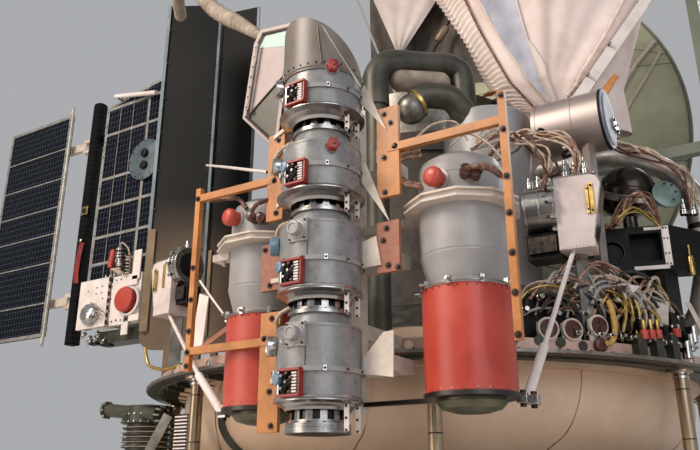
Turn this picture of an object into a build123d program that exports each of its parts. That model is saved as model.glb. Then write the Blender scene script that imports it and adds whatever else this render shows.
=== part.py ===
from build123d import *
import os
from math import cos, sin, tan, radians, sqrt, atan2, degrees

# Interplanetary probe on its display stand, in millimetres, +Z up.
# The origin is on the floor under the axis of the bus. The bus front faces -Y, and the solar
# wings reach out along X. Angles on the rim are counted from -Y towards +X, in degrees.

# Small spaces between pieces
seat_gap = 0.3
pin_clearance = 0.05
hinge_gap = 1.0

# Bus: ring-shaped pressure hull with its equipment rim
hull_ring_radius = 895.0
hull_tube_radius = 255.0
hull_centre_z = 455.0
hull_outer = hull_ring_radius + hull_tube_radius
boss_overhang = 30.0
boss_height = 20.0
rim_z = 556.0
rim_thickness = 12.0
rim_bore_radius = hull_outer - 5.0
rim_radius = hull_outer + 168.0
web_radius = hull_outer + 112.0
web_height = 46.0
web_thickness = 6.0
web_hole_radius = 15.0
web_hole_count = 48

# Central tank, its skirt and the engine under it
tank_radius = 550.0
tank_bottom_z = 640.0
tank_top_z = 1700.0
tank_dome_height = 160.0
tank_dome_inset = 35.0
tank_band_height = 40.0
tank_band_depth = 14.0
tank_band_z = (900.0, 1260.0, 1620.0)
skirt_wall = 14.0
skirt_foot_inset = 60.0
skirt_foot_width = 70.0
engine_radius = 190.0
engine_length = 170.0
nozzle_throat_radius = 70.0
nozzle_mouth_radius = 215.0
nozzle_length = 175.0
nozzle_wall = 8.0
nozzle_waist = 0.8

# Display stand
floor_ring_radius = hull_outer + 100.0
floor_ring_width = 120.0
floor_ring_height = 80.0
floor_beam_width = 110.0
floor_bolt_radius = 9.0
floor_bolt_count = 8
first_bolt_angle = 48.5
post_radius = 24.0
post_cap_radius = 46.0
post_cap_height = 14.0
post_count = 8
first_post_angle = 26.0

# Finned pot on the stand's ring: angle, distance from the axis, then its heights
pot_angle = -58.0
pot_reach = floor_ring_radius + 90.0
pot_radius = 112.0
pot_band_radius = 122.0
pot_band_z = 430.0
pot_band_height = 45.0
pot_top_z = 510.0
pot_fin_count = 13
pot_fin_pitch = 26.0
pot_fin_depth = 16.0

# Front instrument group, which hangs outside the rim
front_x = 443.5
drum_y = -(rim_radius + 310.0)
drum_radius = 118.0
column_y = -(rim_radius + 114.0)
bottle_y = -(rim_radius + 129.0)
strut_y = -(rim_radius + 266.0)

# Each drum: top of its cone, top and bottom of its case, middle of its band, low edge and lip of its
# skirt, then the bottom of its neck and the height of the neck's foot
drum_table = (
    (1340.0, 1340.0, 1192.0, 1255.0, 1163.0, 130.0, 1131.0, 10.0),
    (1131.0, 1084.0, 934.0, 1004.0, 908.0, 130.0, 878.0, 10.0),
    (878.0, 839.0, 645.0, 726.0, 620.0, 122.0, 583.0, 10.0),
    (583.0, 547.0, 351.0, 427.0, 327.0, 122.0, 269.0, 25.0),
)
cone_foot_radius = 97.0
cone_head_radius = 80.0
neck_radius = 75.0
neck_foot_radius = 88.0
window_count = 12
window_width = 20.0
window_depth = 9.0
window_margin = 9.0
skirt_open_radius = 90.0
drum_skirt_wall = 3.0

# Clamp bands round the drums, with an arm to the column and gusset plates to the sides
band_height = 13.0
band_depth = 5.0
band_arm_width = 40.0
gusset_thickness = 5.0

# Gusset plates: drum, then the corners as offsets from the drum's axis and heights
gusset_table = (
    (0, ((112.0, 1280.0), (132.0, 1298.0), (206.0, 1127.0), (112.0, 1245.0))),
    (1, ((112.0, 1025.0), (132.0, 1040.0), (210.0, 840.0), (112.0, 990.0))),
    (2, ((112.0, 793.0), (166.0, 806.0), (181.0, 719.0), (112.0, 719.0))),
    (3, ((112.0, 456.0), (185.0, 531.0), (216.0, 532.0), (212.0, 409.0), (112.0, 425.0))),
    (0, ((-112.0, 1262.0), (-112.0, 1248.0), (-210.0, 1200.0), (-210.0, 1214.0))),
    (1, ((-112.0, 1011.0), (-112.0, 997.0), (-190.0, 960.0), (-190.0, 974.0))),
    (2, ((-112.0, 733.0), (-112.0, 719.0), (-200.0, 719.0), (-200.0, 733.0))),
    (3, ((-112.0, 434.0), (-112.0, 420.0), (-190.0, 420.0), (-190.0, 434.0))),
)

# Instrument column between the rim and the drums, with cross arms to the side plates
column_width = 60.0
column_depth = 40.0
column_foot_z = 340.0
column_top_z = 1300.0
rim_arm_height = 44.0
cross_arm_size = 40.0
cross_arm_z = (1060.0, 770.0, 460.0)
forward_arm_width = 20.0
forward_arm_offsets = (-185.5, 169.5)

# Orange frame: side, strut offset, strut bottom and top, heights of its bars
orange_strut_width = 20.0
orange_strut_depth = 18.0
orange_bar_height = 24.0
orange_bar_depth = 18.0
orange_plate_depth = 14.0
orange_table = (
    (1, 556.5, 473.0, 1156.0, (1070.0,)),
    (-1, 524.5, 482.0, 1098.0, (1062.0, 545.0)),
)

# Orange plates and brown plates: side, inner and outer offset, bottom and top
orange_plate_table = (
    (1, 169.5, 241.5, 920.0, 1204.0),
    (-1, 169.5, 232.0, 923.0, 1219.0),
    (-1, 164.5, 236.5, 284.0, 631.0),
)
brown_plate_table = (
    (1, 166.5, 236.5, 697.0, 845.0),
    (-1, 176.5, 241.5, 699.0, 846.0),
)

# Cowl round the top drum, cut by a leaning plane
cowl_wall = 4.0
cowl_overlap = 30.0
cowl_high = 1520.0
cowl_middle_z = 1395.0
cowl_lean = 12.5
cowl_rake = 39.7

# Open hood above the left plate: corners as offsets from the drum's axis and heights
hood_corners = (
    (-350.5, 1330.0), (-317.5, 1606.0), (-293.5, 1647.0), (-163.5, 1629.0), (-194.5, 1426.0), (-219.5, 1195.0),
)
hood_depth = 110.0
hood_wall = 3.0
hood_flange = 10.0

# Bottles: heights from the foot up
bottle_radius = 124.0
bottle_flange_radius = 128.0
foot_dish_radius = 95.0
foot_neck_radius = 88.0
foot_dish_depth = 36.0
foot_ring_low = 356.0
foot_ring_high = 368.0
sleeve_top_z = 647.0
bottle_flange_height = 8.0
bottle_waist_radius = 104.0
bottle_waist_z = 667.0
bottle_shoulder_z = 737.0
bottle_dome_z = 995.0
bottle_dome_height = 50.0
collar_low = 874.0
collar_high = 900.0
collar_radius = 170.0
collar_groove = 10.0
collar_lip = 6.0
collar_sides = 10
bottle_arm_width = 24.0
lug_reach = 166.0
lug_width = 34.0

# Each bottle: side, place along X, direction of the lug on its foot ring
bottle_table = (
    (-1, 113.5, 182.0),
    (1, 811.0, 39.0),
)

# Star trackers on the rim: each head is turned outwards a little
tracker_angle = 51.4
tracker_radius = web_radius + 2.0
tracker_turn = 8.0
tracker_width = 158.0
tracker_depth = 110.0
tracker_low = 938.0
tracker_high = 1182.0
tracker_taper = 38.0
tracker_round = 40.0
tracker_seal_height = 25.0
barrel_radius = 85.0
stalk_size = 50.0
stalk_inset = 45.0

# Each tracker: side, height and length of its barrel
tracker_table = (
    (-1, 1143.0, 62.0),
    (1, 1085.0, 112.0),
)

# White adjustable struts: side, then the knee between the thin rod and the thick tube
strut_head_x = 35.0
strut_head_y = 25.0
strut_foot_reach = 150.0
strut_rod_radius = 8.0
strut_tube_radius = 14.0
white_strut_table = (
    (-1, (-223.0, -(rim_radius + 59.0), 505.0)),
    (1, (932.0, -(rim_radius - 144.0), 527.0)),
)

# Solar wings
wing_root_x = 1500.0
wing_root_y = 60.0
wing_bottom_z = 1154.0
inner_top_z = 2805.0
wing_top_z = 2870.0
panel_thickness = 26.0
inner_panel_start = 1566.0
inner_panel_end = 2545.0
spar_x = 2650.0
spar_size = 70.0
spar_overhang = 90.0
fold_x = 2706.0
fold_y = 74.0
outer_panel_start = 2955.0
outer_panel_end = 3670.0
hinge_radius = 14.0
hinge_knuckle = 26.0
hinge_z = (1400.0, 2600.0)
knuckle_height = 50.0
ear_height = 28.0
ear_spacing = 41.0
pin_height = 110.0
ear_length = 118.0
link_width = 50.0
link_depth = 68.0
rail_depth = 43.0
rail_height = 40.0
fold_arm_width = 60.0
fold_ear_length = 172.0
fold_bridge_width = 32.0
fold_beam_overlap = 90.0
wing_arm_size = 30.0
wing_arm_height = 60.0
wing_arm_inset = 16.0
root_beam_z = (1340.0, 1540.0)
root_post_offset = 96.0
root_post_size = 50.0
root_post_low = 1300.0
root_post_high = 2650.0

# Dish antenna on the back
dish_radius = 1250.0
dish_vertex_y = tank_radius + 90.0
dish_depth = 260.0
dish_z = 2160.0
dish_wall = 12.0
feed_y = dish_vertex_y + 690.0
feed_radius = 70.0
feed_length = 120.0
feed_strut_radius = 12.0
feed_foot_share = 0.8
dish_mast_drop = 630.0
dish_mast_width = 130.0
dish_mast_overlap = 60.0

# Deck on the tank, with an arm to the covered instrument
adapter_radius = tank_radius - 10.0
adapter_wall = 20.0
deck_z = 1900.0
deck_thickness = 24.0
deck_radius = tank_radius - 20.0
deck_arm_width = 120.0
deck_arm_angle = 73.0
deck_arm_reach = 690.0

# Cloth cover: centre X and Y, half width, half depth and height of each section
cover_turn = 31.5
cover_table = (
    (903.0, -155.0, 200.0, 70.0, 1650.0),
    (815.0, -225.0, 290.0, 140.0, 1860.0),
    (786.0, -230.0, 493.0, 210.0, 2372.0),
    (770.0, -200.0, 400.0, 190.0, 2960.0),
)

# Tall shields by the left star tracker: angle, inner and outer radius, bottom, top, corner radius
shield_thickness = 8.0
shield_flange = 40.0
shield_flange_rise = 300.0
front_shield = (-60.3, rim_bore_radius - 15.0, rim_bore_radius + 293.0, 792.0, 2800.0, 70.0)
rear_shield = (-77.5, rim_bore_radius - 140.0, rim_bore_radius + 125.0, 840.0, 3000.0, 20.0)
shield_foot_width = 26.0
shield_foot_depth = 36.0
shield_foot_radii = (rim_bore_radius + 40.0, web_radius + 28.0)

# Camera box, placed by its front right edge, and its pedestal
camera_angle = 72.4
camera_reach = hull_outer + 118.0
camera_turn = 16.0
camera_length = 400.0
camera_slant = 144.0
camera_depth = 130.0
camera_low = 919.0
camera_high = 1096.0
camera_port_radius = 43.0
camera_port_offset = -211.0
camera_port_z = 999.0
camera_window_size = 112.0
camera_window_offset = -88.0
camera_window_z = 1012.0
camera_hole_depth = 60.0
pedestal_angle = 73.9
pedestal_reach = web_radius - 57.0
pedestal_width = 110.0
pedestal_depth = 70.0

# Bulb-shaped tank behind the camera box
bulb_angle = 76.9
bulb_reach = hull_outer - 70.0
bulb_z = 1304.0
bulb_radius = 115.0
bulb_post_radius = 30.0

# Baffle barrel on a post, and its lid
baffle_z = 1483.0
baffle_length = 260.0
baffle_radius = 117.0
baffle_wall = 4.0
baffle_floor = 40.0
baffle_stalk_angle = 57.6
baffle_stalk_reach = web_radius - 72.0
baffle_stalk_size = 34.0
baffle_x = baffle_stalk_reach * sin(radians(baffle_stalk_angle)) - 59.75
baffle_y = -baffle_stalk_reach * cos(radians(baffle_stalk_angle)) + 31.63
lid_clearance = 6.0
lid_thickness = 6.0
lid_pin_radius = 5.0
lid_hub_wall = 5.0
lid_hub_height = 30.0
lid_ear_height = 14.0
lid_ear_spacing = 24.0
lid_ear_length = 60.0
lid_ear_depth = 26.0
lid_pin_height = 66.0
lid_tongue_length = 34.0

# Big canister behind the right bottle
rear_canister_angle = 44.0
rear_canister_ring = hull_ring_radius - 44.0
rear_canister_radius = 180.0
rear_canister_low = 845.0
rear_canister_top = 1590.0
rear_canister_round = 14.0
rear_foot_radius = 70.0
rear_canister_x = rear_canister_ring * sin(radians(rear_canister_angle))
rear_canister_y = -rear_canister_ring * cos(radians(rear_canister_angle))

# Square brace from the rear canister to the right wing's root post
brace_size = 48.0
brace_low = (700.0, -525.0, 1345.0)
brace_high = (wing_root_x - root_post_offset, -root_post_size / 2, 2560.0)

# Feet of the arch duct: one on the hull, one on the rear canister
arch_foot_angle = 15.2
arch_foot_ring = hull_ring_radius + 102.0
arch_foot_x = arch_foot_ring * sin(radians(arch_foot_angle))
arch_foot_y = -arch_foot_ring * cos(radians(arch_foot_angle))
arch_end_x = rear_canister_x - 75.0
arch_end_y = rear_canister_y - 54.0
arch_start_z = 1825.0
arch_end_z = 1868.0

# Ducts: name, radius, then points of the route with the radius of each bend
duct_table = (
    ("arch_duct", 46.0, (
        (arch_foot_x, arch_foot_y, 640.0, 0),
        (arch_foot_x, arch_foot_y, arch_start_z, 95),
        (arch_end_x, arch_end_y, arch_end_z, 75),
        (arch_end_x, arch_end_y, rear_canister_top, 0),
    )),
    ("side_duct", 46.0, (
        (500.0, -160.0, 1520.0, 0),
        (1010.0, -180.0, 1510.0, 240),
        (1200.0, -138.0, 1425.0, 130),
        (1292.0, -118.0, 1290.0, 130),
        (1300.0, -95.0, 1000.0, 250),
        (1225.0, -10.0, 790.0, 160),
        (950.0, 70.0, 620.0, 0),
    )),
    ("elbow_duct", 44.0, (
        (rear_canister_x - 15.0, rear_canister_y - 88.0, 1480.0, 0),
        (rear_canister_x - 61.0, rear_canister_y - 198.0, 1632.0, 70),
        (arch_foot_x + 168.0, arch_foot_y + 84.0, 1640.0, 60),
        (arch_foot_x + 127.0, arch_foot_y + 62.0, 1585.0, 0),
    )),
)
elbow_ball_radius = 54.0

# Short pod under the arch duct: shares of the arch's span where it starts and ends
pod_radius = 46.0
pod_shares = (0.27, 0.73)
pod_drop = 46.0 + pod_radius + seat_gap

# Boxes on the left wing: x, width, depth, bottom, top
cluster_table = (
    (-2295.0, 170.0, 170.0, 1130.0, 1385.0),
    (-2110.0, 160.0, 150.0, 1140.0, 1385.0),
)

# Gas bottles round the back of the hull
gas_angles = (110.0, 140.0, 170.0, 200.0, 230.0, 260.0)
gas_ring = hull_ring_radius + 65.0
gas_z = 805.0
gas_radius = 92.0
gas_cup_radius = 40.0
gas_cup_overlap = 20.0

nodes = {}


def rim_place(angle, radius, z):
    """Place on the rim: the piece's own -Y then points outwards."""
    return Rot(0, 0, angle) * Pos(0, -radius, z)


def upright(radius, low, high):
    """Vertical cylinder between two heights."""
    return Pos(0, 0, (low + high) / 2) * Cylinder(radius, high - low)


def upright_box(width, depth, low, high):
    """Vertical block between two heights."""
    return Pos(0, 0, (low + high) / 2) * Box(width, depth, high - low)


def tube_ring(outer, inner, low, high):
    """Ring with a rectangular section."""
    return upright(outer, low, high) - upright(inner, low - 1, high + 1)


def section_along(start, end, section):
    """Section carried along the straight line between two points, its own X kept level."""
    line = Line(start, end)
    level = (line % 0).cross(Vector(0, 0, 1))
    return sweep(Plane(origin=start, x_dir=level, z_dir=line % 0) * section, path=line)


def bar(start, end, width, height):
    """Rectangular bar between two points of one height."""
    sx, sy, sz = start
    ex, ey, ez = end
    length = sqrt((ex - sx) ** 2 + (ey - sy) ** 2)
    turn = degrees(atan2(ey - sy, ex - sx))
    middle = Pos((sx + ex) / 2, (sy + ey) / 2, (sz + ez) / 2)
    return middle * Rot(0, 0, turn) * Box(length, width, height)


def lathe(points):
    """Solid turned about Z from radius and height pairs."""
    outline = Plane.XZ * make_face(Polyline([(r, z) for r, z in points], close=True))
    return revolve(outline, Axis.Z)


def flat_plate(corners, front_y, thickness):
    """Upright plate that faces -Y, from corners in X and Z, with its front at the given Y."""
    outline = Plane.XZ.offset(-front_y) * make_face(Polyline(*corners, close=True))
    return extrude(outline, -thickness)


def tank_solid():
    """Plain cylinder of the tank, for trimming what meets it."""
    return upright(tank_radius, tank_bottom_z, tank_top_z)


def build_bus():
    """Ring hull with its boss, the equipment rim, the tank, its skirt and the engine."""
    hull = Pos(0, 0, hull_centre_z) * Torus(hull_ring_radius, hull_tube_radius)
    boss_top = rim_z - rim_thickness
    boss = tube_ring(hull_outer + boss_overhang, hull_ring_radius, boss_top - boss_height, boss_top)
    nodes["ring_hull"] = [hull + boss]

    flange = tube_ring(rim_radius, rim_bore_radius, boss_top, rim_z)
    web = tube_ring(web_radius, web_radius - web_thickness, rim_z, rim_z + web_height)
    step = 360.0 / web_hole_count
    hole = Rot(90, 0, 0) * Cylinder(web_hole_radius, 6 * web_thickness)
    holes = [rim_place(step * i, web_radius, rim_z + web_height / 2) * hole for i in range(web_hole_count)]
    nodes["rim_ring"] = [flange + web - holes]

    skirt_foot_r = hull_ring_radius - skirt_foot_inset
    skirt_foot_z = hull_centre_z + sqrt(hull_tube_radius**2 - skirt_foot_inset**2)
    skirt_head_z = tank_band_z[0] - tank_band_height / 2
    foot_top = skirt_foot_z + seat_gap + skirt_wall / 2
    skirt = lathe([
        (tank_radius + seat_gap, skirt_head_z - seat_gap),
        (tank_radius + seat_gap, skirt_head_z - skirt_foot_inset),
        (skirt_foot_r - skirt_wall, foot_top),
        (skirt_foot_r + skirt_wall, foot_top),
        (tank_radius + skirt_wall, skirt_head_z - seat_gap),
    ])
    half_foot = skirt_foot_width / 2
    foot = tube_ring(skirt_foot_r + half_foot, skirt_foot_r - half_foot, skirt_foot_z - half_foot, foot_top + 5)
    nodes["tank_skirt"] = [skirt + (foot - hull)]

    dome_radius = tank_radius - tank_dome_inset
    dome = scale(Sphere(dome_radius), (1, 1, tank_dome_height / dome_radius))
    tank = tank_solid() + Pos(0, 0, tank_bottom_z) * dome + Pos(0, 0, tank_top_z) * dome
    for z in tank_band_z:
        tank += upright(tank_radius + tank_band_depth, z - tank_band_height / 2, z + tank_band_height / 2)
    engine_top = tank_bottom_z - tank_dome_height
    engine_bottom = engine_top - engine_length
    tank += upright(engine_radius, engine_top, tank_bottom_z)
    nodes["tank_body"] = [tank]
    nodes["engine_block"] = [upright(engine_radius, engine_bottom, engine_top)]

    mouth_z = engine_bottom - nozzle_length
    waist_radius = nozzle_mouth_radius * nozzle_waist
    waist_z = engine_bottom - nozzle_length * 0.55
    nodes["engine_nozzle"] = [lathe([
        (nozzle_throat_radius - nozzle_wall, engine_bottom),
        (nozzle_throat_radius, engine_bottom),
        (waist_radius, waist_z),
        (nozzle_mouth_radius, mouth_z),
        (nozzle_mouth_radius - nozzle_wall, mouth_z),
        (waist_radius - nozzle_wall, waist_z),
    ])]


def build_stand():
    """Floor ring with crossed beams, posts up to the rim, and the finned pot on the ring."""
    inner = floor_ring_radius - floor_ring_width / 2
    base = tube_ring(floor_ring_radius + floor_ring_width / 2, inner, 0, floor_ring_height)
    beam = upright_box(2 * inner + floor_ring_width, floor_beam_width, 0, floor_ring_height)
    base = base + beam + Rot(0, 0, 90) * beam
    bolt_hole = Pos(0, -floor_ring_radius, 0) * upright(floor_bolt_radius, -1, floor_ring_height + 1)
    bolt_step = 360.0 / floor_bolt_count
    for i in range(floor_bolt_count):
        base = base - Rot(0, 0, first_bolt_angle + bolt_step * i) * bolt_hole
    nodes["stand_base"] = [base]

    top = rim_z - rim_thickness
    post = upright(post_radius, floor_ring_height, top) + upright(post_cap_radius, top - post_cap_height, top)
    step = 360.0 / post_count
    angles = [first_post_angle + step * i for i in range(post_count)]
    nodes["stand_posts"] = [rim_place(angle, floor_ring_radius, 0) * post for angle in angles]

    pot = upright(pot_radius - pot_fin_depth, floor_ring_height, pot_band_z)
    pot += upright(pot_band_radius, pot_band_z, pot_band_z + pot_band_height)
    pot += upright(pot_radius, pot_band_z, pot_top_z)
    for i in range(pot_fin_count):
        fin_z = pot_band_z - (i + 1) * pot_fin_pitch
        pot += upright(pot_radius, fin_z, fin_z + pot_fin_pitch / 3)
    nodes["finned_pot"] = [rim_place(pot_angle, pot_reach, 0) * pot]


def build_drums():
    """Stack of drum instruments: cases with their cones, flared skirts, and necks with windows."""
    cases = []
    skirts = []
    necks = []
    place = Pos(front_x, drum_y, 0)
    for cone_top, top, bottom, band_z, skirt_low, lip, neck_low, foot_height in drum_table:
        case = upright(drum_radius, bottom, top)
        if cone_top > top:
            cone = lathe([(0, top), (cone_foot_radius, top), (cone_head_radius, cone_top), (0, cone_top)])
            case += cone
        cases.append(place * case)

        drop = bottom - skirt_low
        skirts.append(place * lathe([
            (drum_radius - 4 * drum_skirt_wall, bottom),
            (lip, bottom),
            (lip, bottom - drum_skirt_wall),
            (skirt_open_radius + 0.55 * (lip - skirt_open_radius), bottom - 0.35 * drop),
            (skirt_open_radius + 0.15 * (lip - skirt_open_radius), bottom - 0.7 * drop),
            (skirt_open_radius, skirt_low),
            (skirt_open_radius - drum_skirt_wall, skirt_low),
            (skirt_open_radius + 0.15 * (lip - skirt_open_radius) - drum_skirt_wall, bottom - 0.7 * drop),
            (skirt_open_radius + 0.55 * (lip - skirt_open_radius) - drum_skirt_wall, bottom - 0.35 * drop),
            (drum_radius - 4 * drum_skirt_wall, bottom - 2 * drum_skirt_wall),
        ]))

        foot_top = neck_low + foot_height
        neck = upright(neck_radius, neck_low, bottom) + upright(neck_foot_radius, neck_low, foot_top)
        window = Pos(0, -neck_radius, 0)
        window_low = foot_top + window_margin
        window = window * upright_box(window_width, 2 * window_depth, window_low, bottom - window_margin)
        neck -= [Rot(0, 0, 360.0 / window_count * i) * window for i in range(window_count)]
        necks.append(place * neck)
    nodes["drum_cases"] = cases
    nodes["drum_skirts"] = skirts
    nodes["drum_necks"] = necks


def build_carrier():
    """Column on the rim with its cross arms, and the clamp bands that hold the drums to it."""
    column = Pos(front_x, column_y, 0) * upright_box(column_width, column_depth, column_foot_z, column_top_z)
    column_front = column_y - column_depth / 2
    column_back = column_y + column_depth / 2
    web_y = -sqrt(web_radius**2 - (front_x - column_width / 2) ** 2) - seat_gap
    rim_arm = Pos(front_x, (column_back + web_y) / 2, rim_z + rim_arm_height / 2)
    frame = column + rim_arm * Box(column_width, web_y - column_back, rim_arm_height)
    left, right = forward_arm_offsets
    half = forward_arm_width / 2
    plate_back = strut_y + orange_plate_depth / 2 + seat_gap
    for z in cross_arm_z:
        cross = Pos(front_x + (left + right) / 2, column_y, z)
        frame += cross * Box(right - left + 2 * half, column_depth, cross_arm_size)
        for offset in forward_arm_offsets:
            arm = Pos(front_x + offset, (column_front + plate_back) / 2, z)
            frame += arm * Box(forward_arm_width, column_front - plate_back, cross_arm_size)
    nodes["carrier_frame"] = [frame]

    bands = []
    gusset_front = strut_y - orange_plate_depth / 2 - seat_gap - gusset_thickness
    for index, (cone_top, top, bottom, band_z, *below) in enumerate(drum_table):
        low = band_z - band_height / 2
        high = band_z + band_height / 2
        inner = drum_radius + seat_gap
        band = Pos(front_x, drum_y, 0) * tube_ring(inner + band_depth, inner, low, high)
        back_y = drum_y + drum_radius
        arm = Pos(front_x, (back_y + column_front - seat_gap) / 2, 0)
        arm = arm * upright_box(band_arm_width, column_front - seat_gap - back_y, low, high)
        band += arm
        for drum, corners in gusset_table:
            if drum == index:
                places = [(front_x + offset, z) for offset, z in corners]
                band += flat_plate(places, gusset_front, gusset_thickness)
        bands.append(band - Pos(front_x, drum_y, 0) * upright(inner, low - 400, high + 400))
    nodes["drum_brackets"] = bands


def side_plates(table):
    """Upright plates in the plane of the struts, from a table of offsets and heights."""
    plates = []
    for side, inner, outer, low, high in table:
        plate = Pos(front_x + side * (inner + outer) / 2, strut_y, 0)
        plates.append(plate * upright_box(outer - inner, orange_plate_depth, low, high))
    return plates


def build_orange_frame():
    """Painted strut, bars and plates on each side of the drums."""
    plates = side_plates(orange_plate_table)
    pieces = []
    for side, offset, low, high, bar_heights in orange_table:
        x = front_x + side * offset
        piece = Pos(x, strut_y, 0) * upright_box(orange_strut_width, orange_strut_depth, low, high)
        for (plate_side, inner, outer, plate_low, plate_high), plate in zip(orange_plate_table, plates):
            if plate_side == side:
                piece += plate
                for z in bar_heights:
                    if plate_low < z < plate_high:
                        start = (front_x + side * (inner + outer) / 2, strut_y, z)
                        piece += bar(start, (x, strut_y, z), orange_bar_depth, orange_bar_height)
        pieces.append(piece)
    nodes["orange_frame"] = pieces
    nodes["brown_plates"] = side_plates(brown_plate_table)


def build_cowl_and_hood():
    """Slanted cowl that carries on the wall of the top drum, and the open hood beside it."""
    cowl_low = drum_table[0][1] - cowl_overlap
    inner = drum_radius + seat_gap
    shell = tube_ring(inner + cowl_wall, inner, cowl_low, cowl_high)
    lean = Plane(origin=(0, 0, cowl_middle_z), z_dir=(tan(radians(cowl_lean)), tan(radians(cowl_rake)), 1))
    reach = cowl_high - cowl_low + 4 * drum_radius
    shell -= lean * Pos(0, 0, reach / 2) * Box(2 * reach, 2 * reach, reach)
    nodes["drum_cowl"] = [Pos(front_x, drum_y, 0) * shell]

    front_y = strut_y + orange_plate_depth / 2 + seat_gap
    outline = make_face(Polyline(*[(front_x + offset, z) for offset, z in hood_corners], close=True))
    front = Plane.XZ.offset(-front_y)
    rim = extrude(front * offset(outline, hood_flange, kind=Kind.INTERSECTION), -hood_wall)
    box = extrude(front * outline, -hood_depth)
    hollow = extrude(front * offset(outline, -hood_wall, kind=Kind.INTERSECTION), -(hood_depth - hood_wall))
    nodes["side_hood"] = [rim + box - hollow]


def build_bottles():
    """Pair of bottles beside the drums: case, sleeve, faceted collar and foot dish."""
    cases = []
    sleeves = []
    collars = []
    feet = []
    flange_top = sleeve_top_z + bottle_flange_height
    dome_top = bottle_dome_z + bottle_dome_height
    for side, bottle_x, lug_angle in bottle_table:
        place = Pos(bottle_x, bottle_y, 0)
        case = lathe([
            (0, sleeve_top_z),
            (bottle_flange_radius, sleeve_top_z),
            (bottle_flange_radius, flange_top),
            (bottle_waist_radius, flange_top),
            (bottle_waist_radius, bottle_waist_z),
            (bottle_radius, bottle_shoulder_z),
            (bottle_radius, bottle_dome_z),
            (0.93 * bottle_radius, bottle_dome_z + 0.5 * bottle_dome_height),
            (0.72 * bottle_radius, bottle_dome_z + 0.86 * bottle_dome_height),
            (0.45 * bottle_radius, dome_top),
            (0, dome_top),
        ])
        cases.append(place * case)
        sleeves.append(place * upright(bottle_radius, foot_ring_high, sleeve_top_z))

        reach = side * (front_x - side * column_width / 2 - bottle_x)
        arm_x = side * reach / 2
        arm = Pos(arm_x, column_y - bottle_y, 0)
        collar_outline = Pos(0, 0, collar_low) * RegularPolygon(collar_radius, collar_sides)
        collar = extrude(collar_outline, collar_high - collar_low)
        groove = Pos(0, 0, collar_low + collar_lip)
        groove_height = collar_high - collar_low - 2 * collar_lip
        ring = extrude(groove * RegularPolygon(2 * collar_radius, collar_sides), groove_height)
        core = extrude(groove * RegularPolygon(collar_radius - collar_groove, collar_sides), groove_height)
        collar -= ring - core
        collar += arm * upright_box(abs(reach), bottle_arm_width, collar_low, collar_high)
        collar -= upright(bottle_radius + seat_gap, collar_low - 1, collar_high + 1)
        collars.append(place * collar)

        foot = lathe([
            (0, foot_ring_low - foot_dish_depth),
            (0.5 * foot_dish_radius, foot_ring_low - 0.97 * foot_dish_depth),
            (0.85 * foot_dish_radius, foot_ring_low - 0.7 * foot_dish_depth),
            (foot_dish_radius, foot_ring_low - 0.25 * foot_dish_depth),
            (foot_neck_radius, foot_ring_low - 0.2 * foot_dish_depth),
            (foot_neck_radius, foot_ring_low),
            (bottle_flange_radius, foot_ring_low),
            (bottle_flange_radius, foot_ring_high),
            (0, foot_ring_high),
        ])
        foot += arm * upright_box(abs(reach), bottle_arm_width, foot_ring_low, foot_ring_high)
        lug = Rot(0, 0, lug_angle) * Pos(lug_reach - lug_width, 0, 0)
        foot += lug * upright_box(2 * lug_width, lug_width, foot_ring_low, foot_ring_high)
        feet.append(place * foot)
    nodes["bottle_cases"] = cases
    nodes["bottle_sleeves"] = sleeves
    nodes["bottle_collars"] = [collar - nodes["carrier_frame"][0] for collar in collars]
    nodes["bottle_feet"] = [foot - nodes["carrier_frame"][0] for foot in feet]


def tracker_place(side):
    """Place of a star tracker: on the rim, with its face turned outwards by a few degrees."""
    angle = radians(tracker_angle)
    x = side * tracker_radius * sin(angle)
    return Pos(x, -tracker_radius * cos(angle), 0) * Rot(0, 0, side * tracker_turn)


def build_trackers():
    """Star trackers on stalks that stand on the rim."""
    heads = []
    barrels = []
    stalks = []
    seal_top = tracker_low
    seal_low = tracker_low - tracker_seal_height
    half = tracker_width / 2
    for side, barrel_z, barrel_length in tracker_table:
        place = tracker_place(side)
        corners = [
            (-side * half, tracker_low), (side * (half - tracker_taper), tracker_low),
            (side * half, tracker_high - tracker_round),
            (side * (half - tracker_round * 0.3), tracker_high - 0.3 * tracker_round),
            (side * (half - tracker_round), tracker_high), (-side * half, tracker_high),
        ]
        head = flat_plate(corners, -tracker_depth / 2, tracker_depth)
        seal_width = tracker_width - tracker_taper
        seal = Pos(-side * tracker_taper / 2, 0, 0) * upright_box(seal_width, tracker_depth, seal_low, seal_top)
        head += seal
        heads.append(place * head)
        barrel = Pos(-side * (half + barrel_length / 2), 0, barrel_z) * Rot(0, 90, 0)
        barrels.append(place * (barrel * Cylinder(barrel_radius, barrel_length)))
        stalk = rim_place(side * tracker_angle, web_radius - stalk_inset, 0)
        stalks.append(stalk * upright_box(stalk_size, stalk_size, rim_z, seal_low))
    nodes["tracker_heads"] = heads
    nodes["tracker_barrels"] = barrels
    nodes["tracker_stalks"] = stalks


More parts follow.
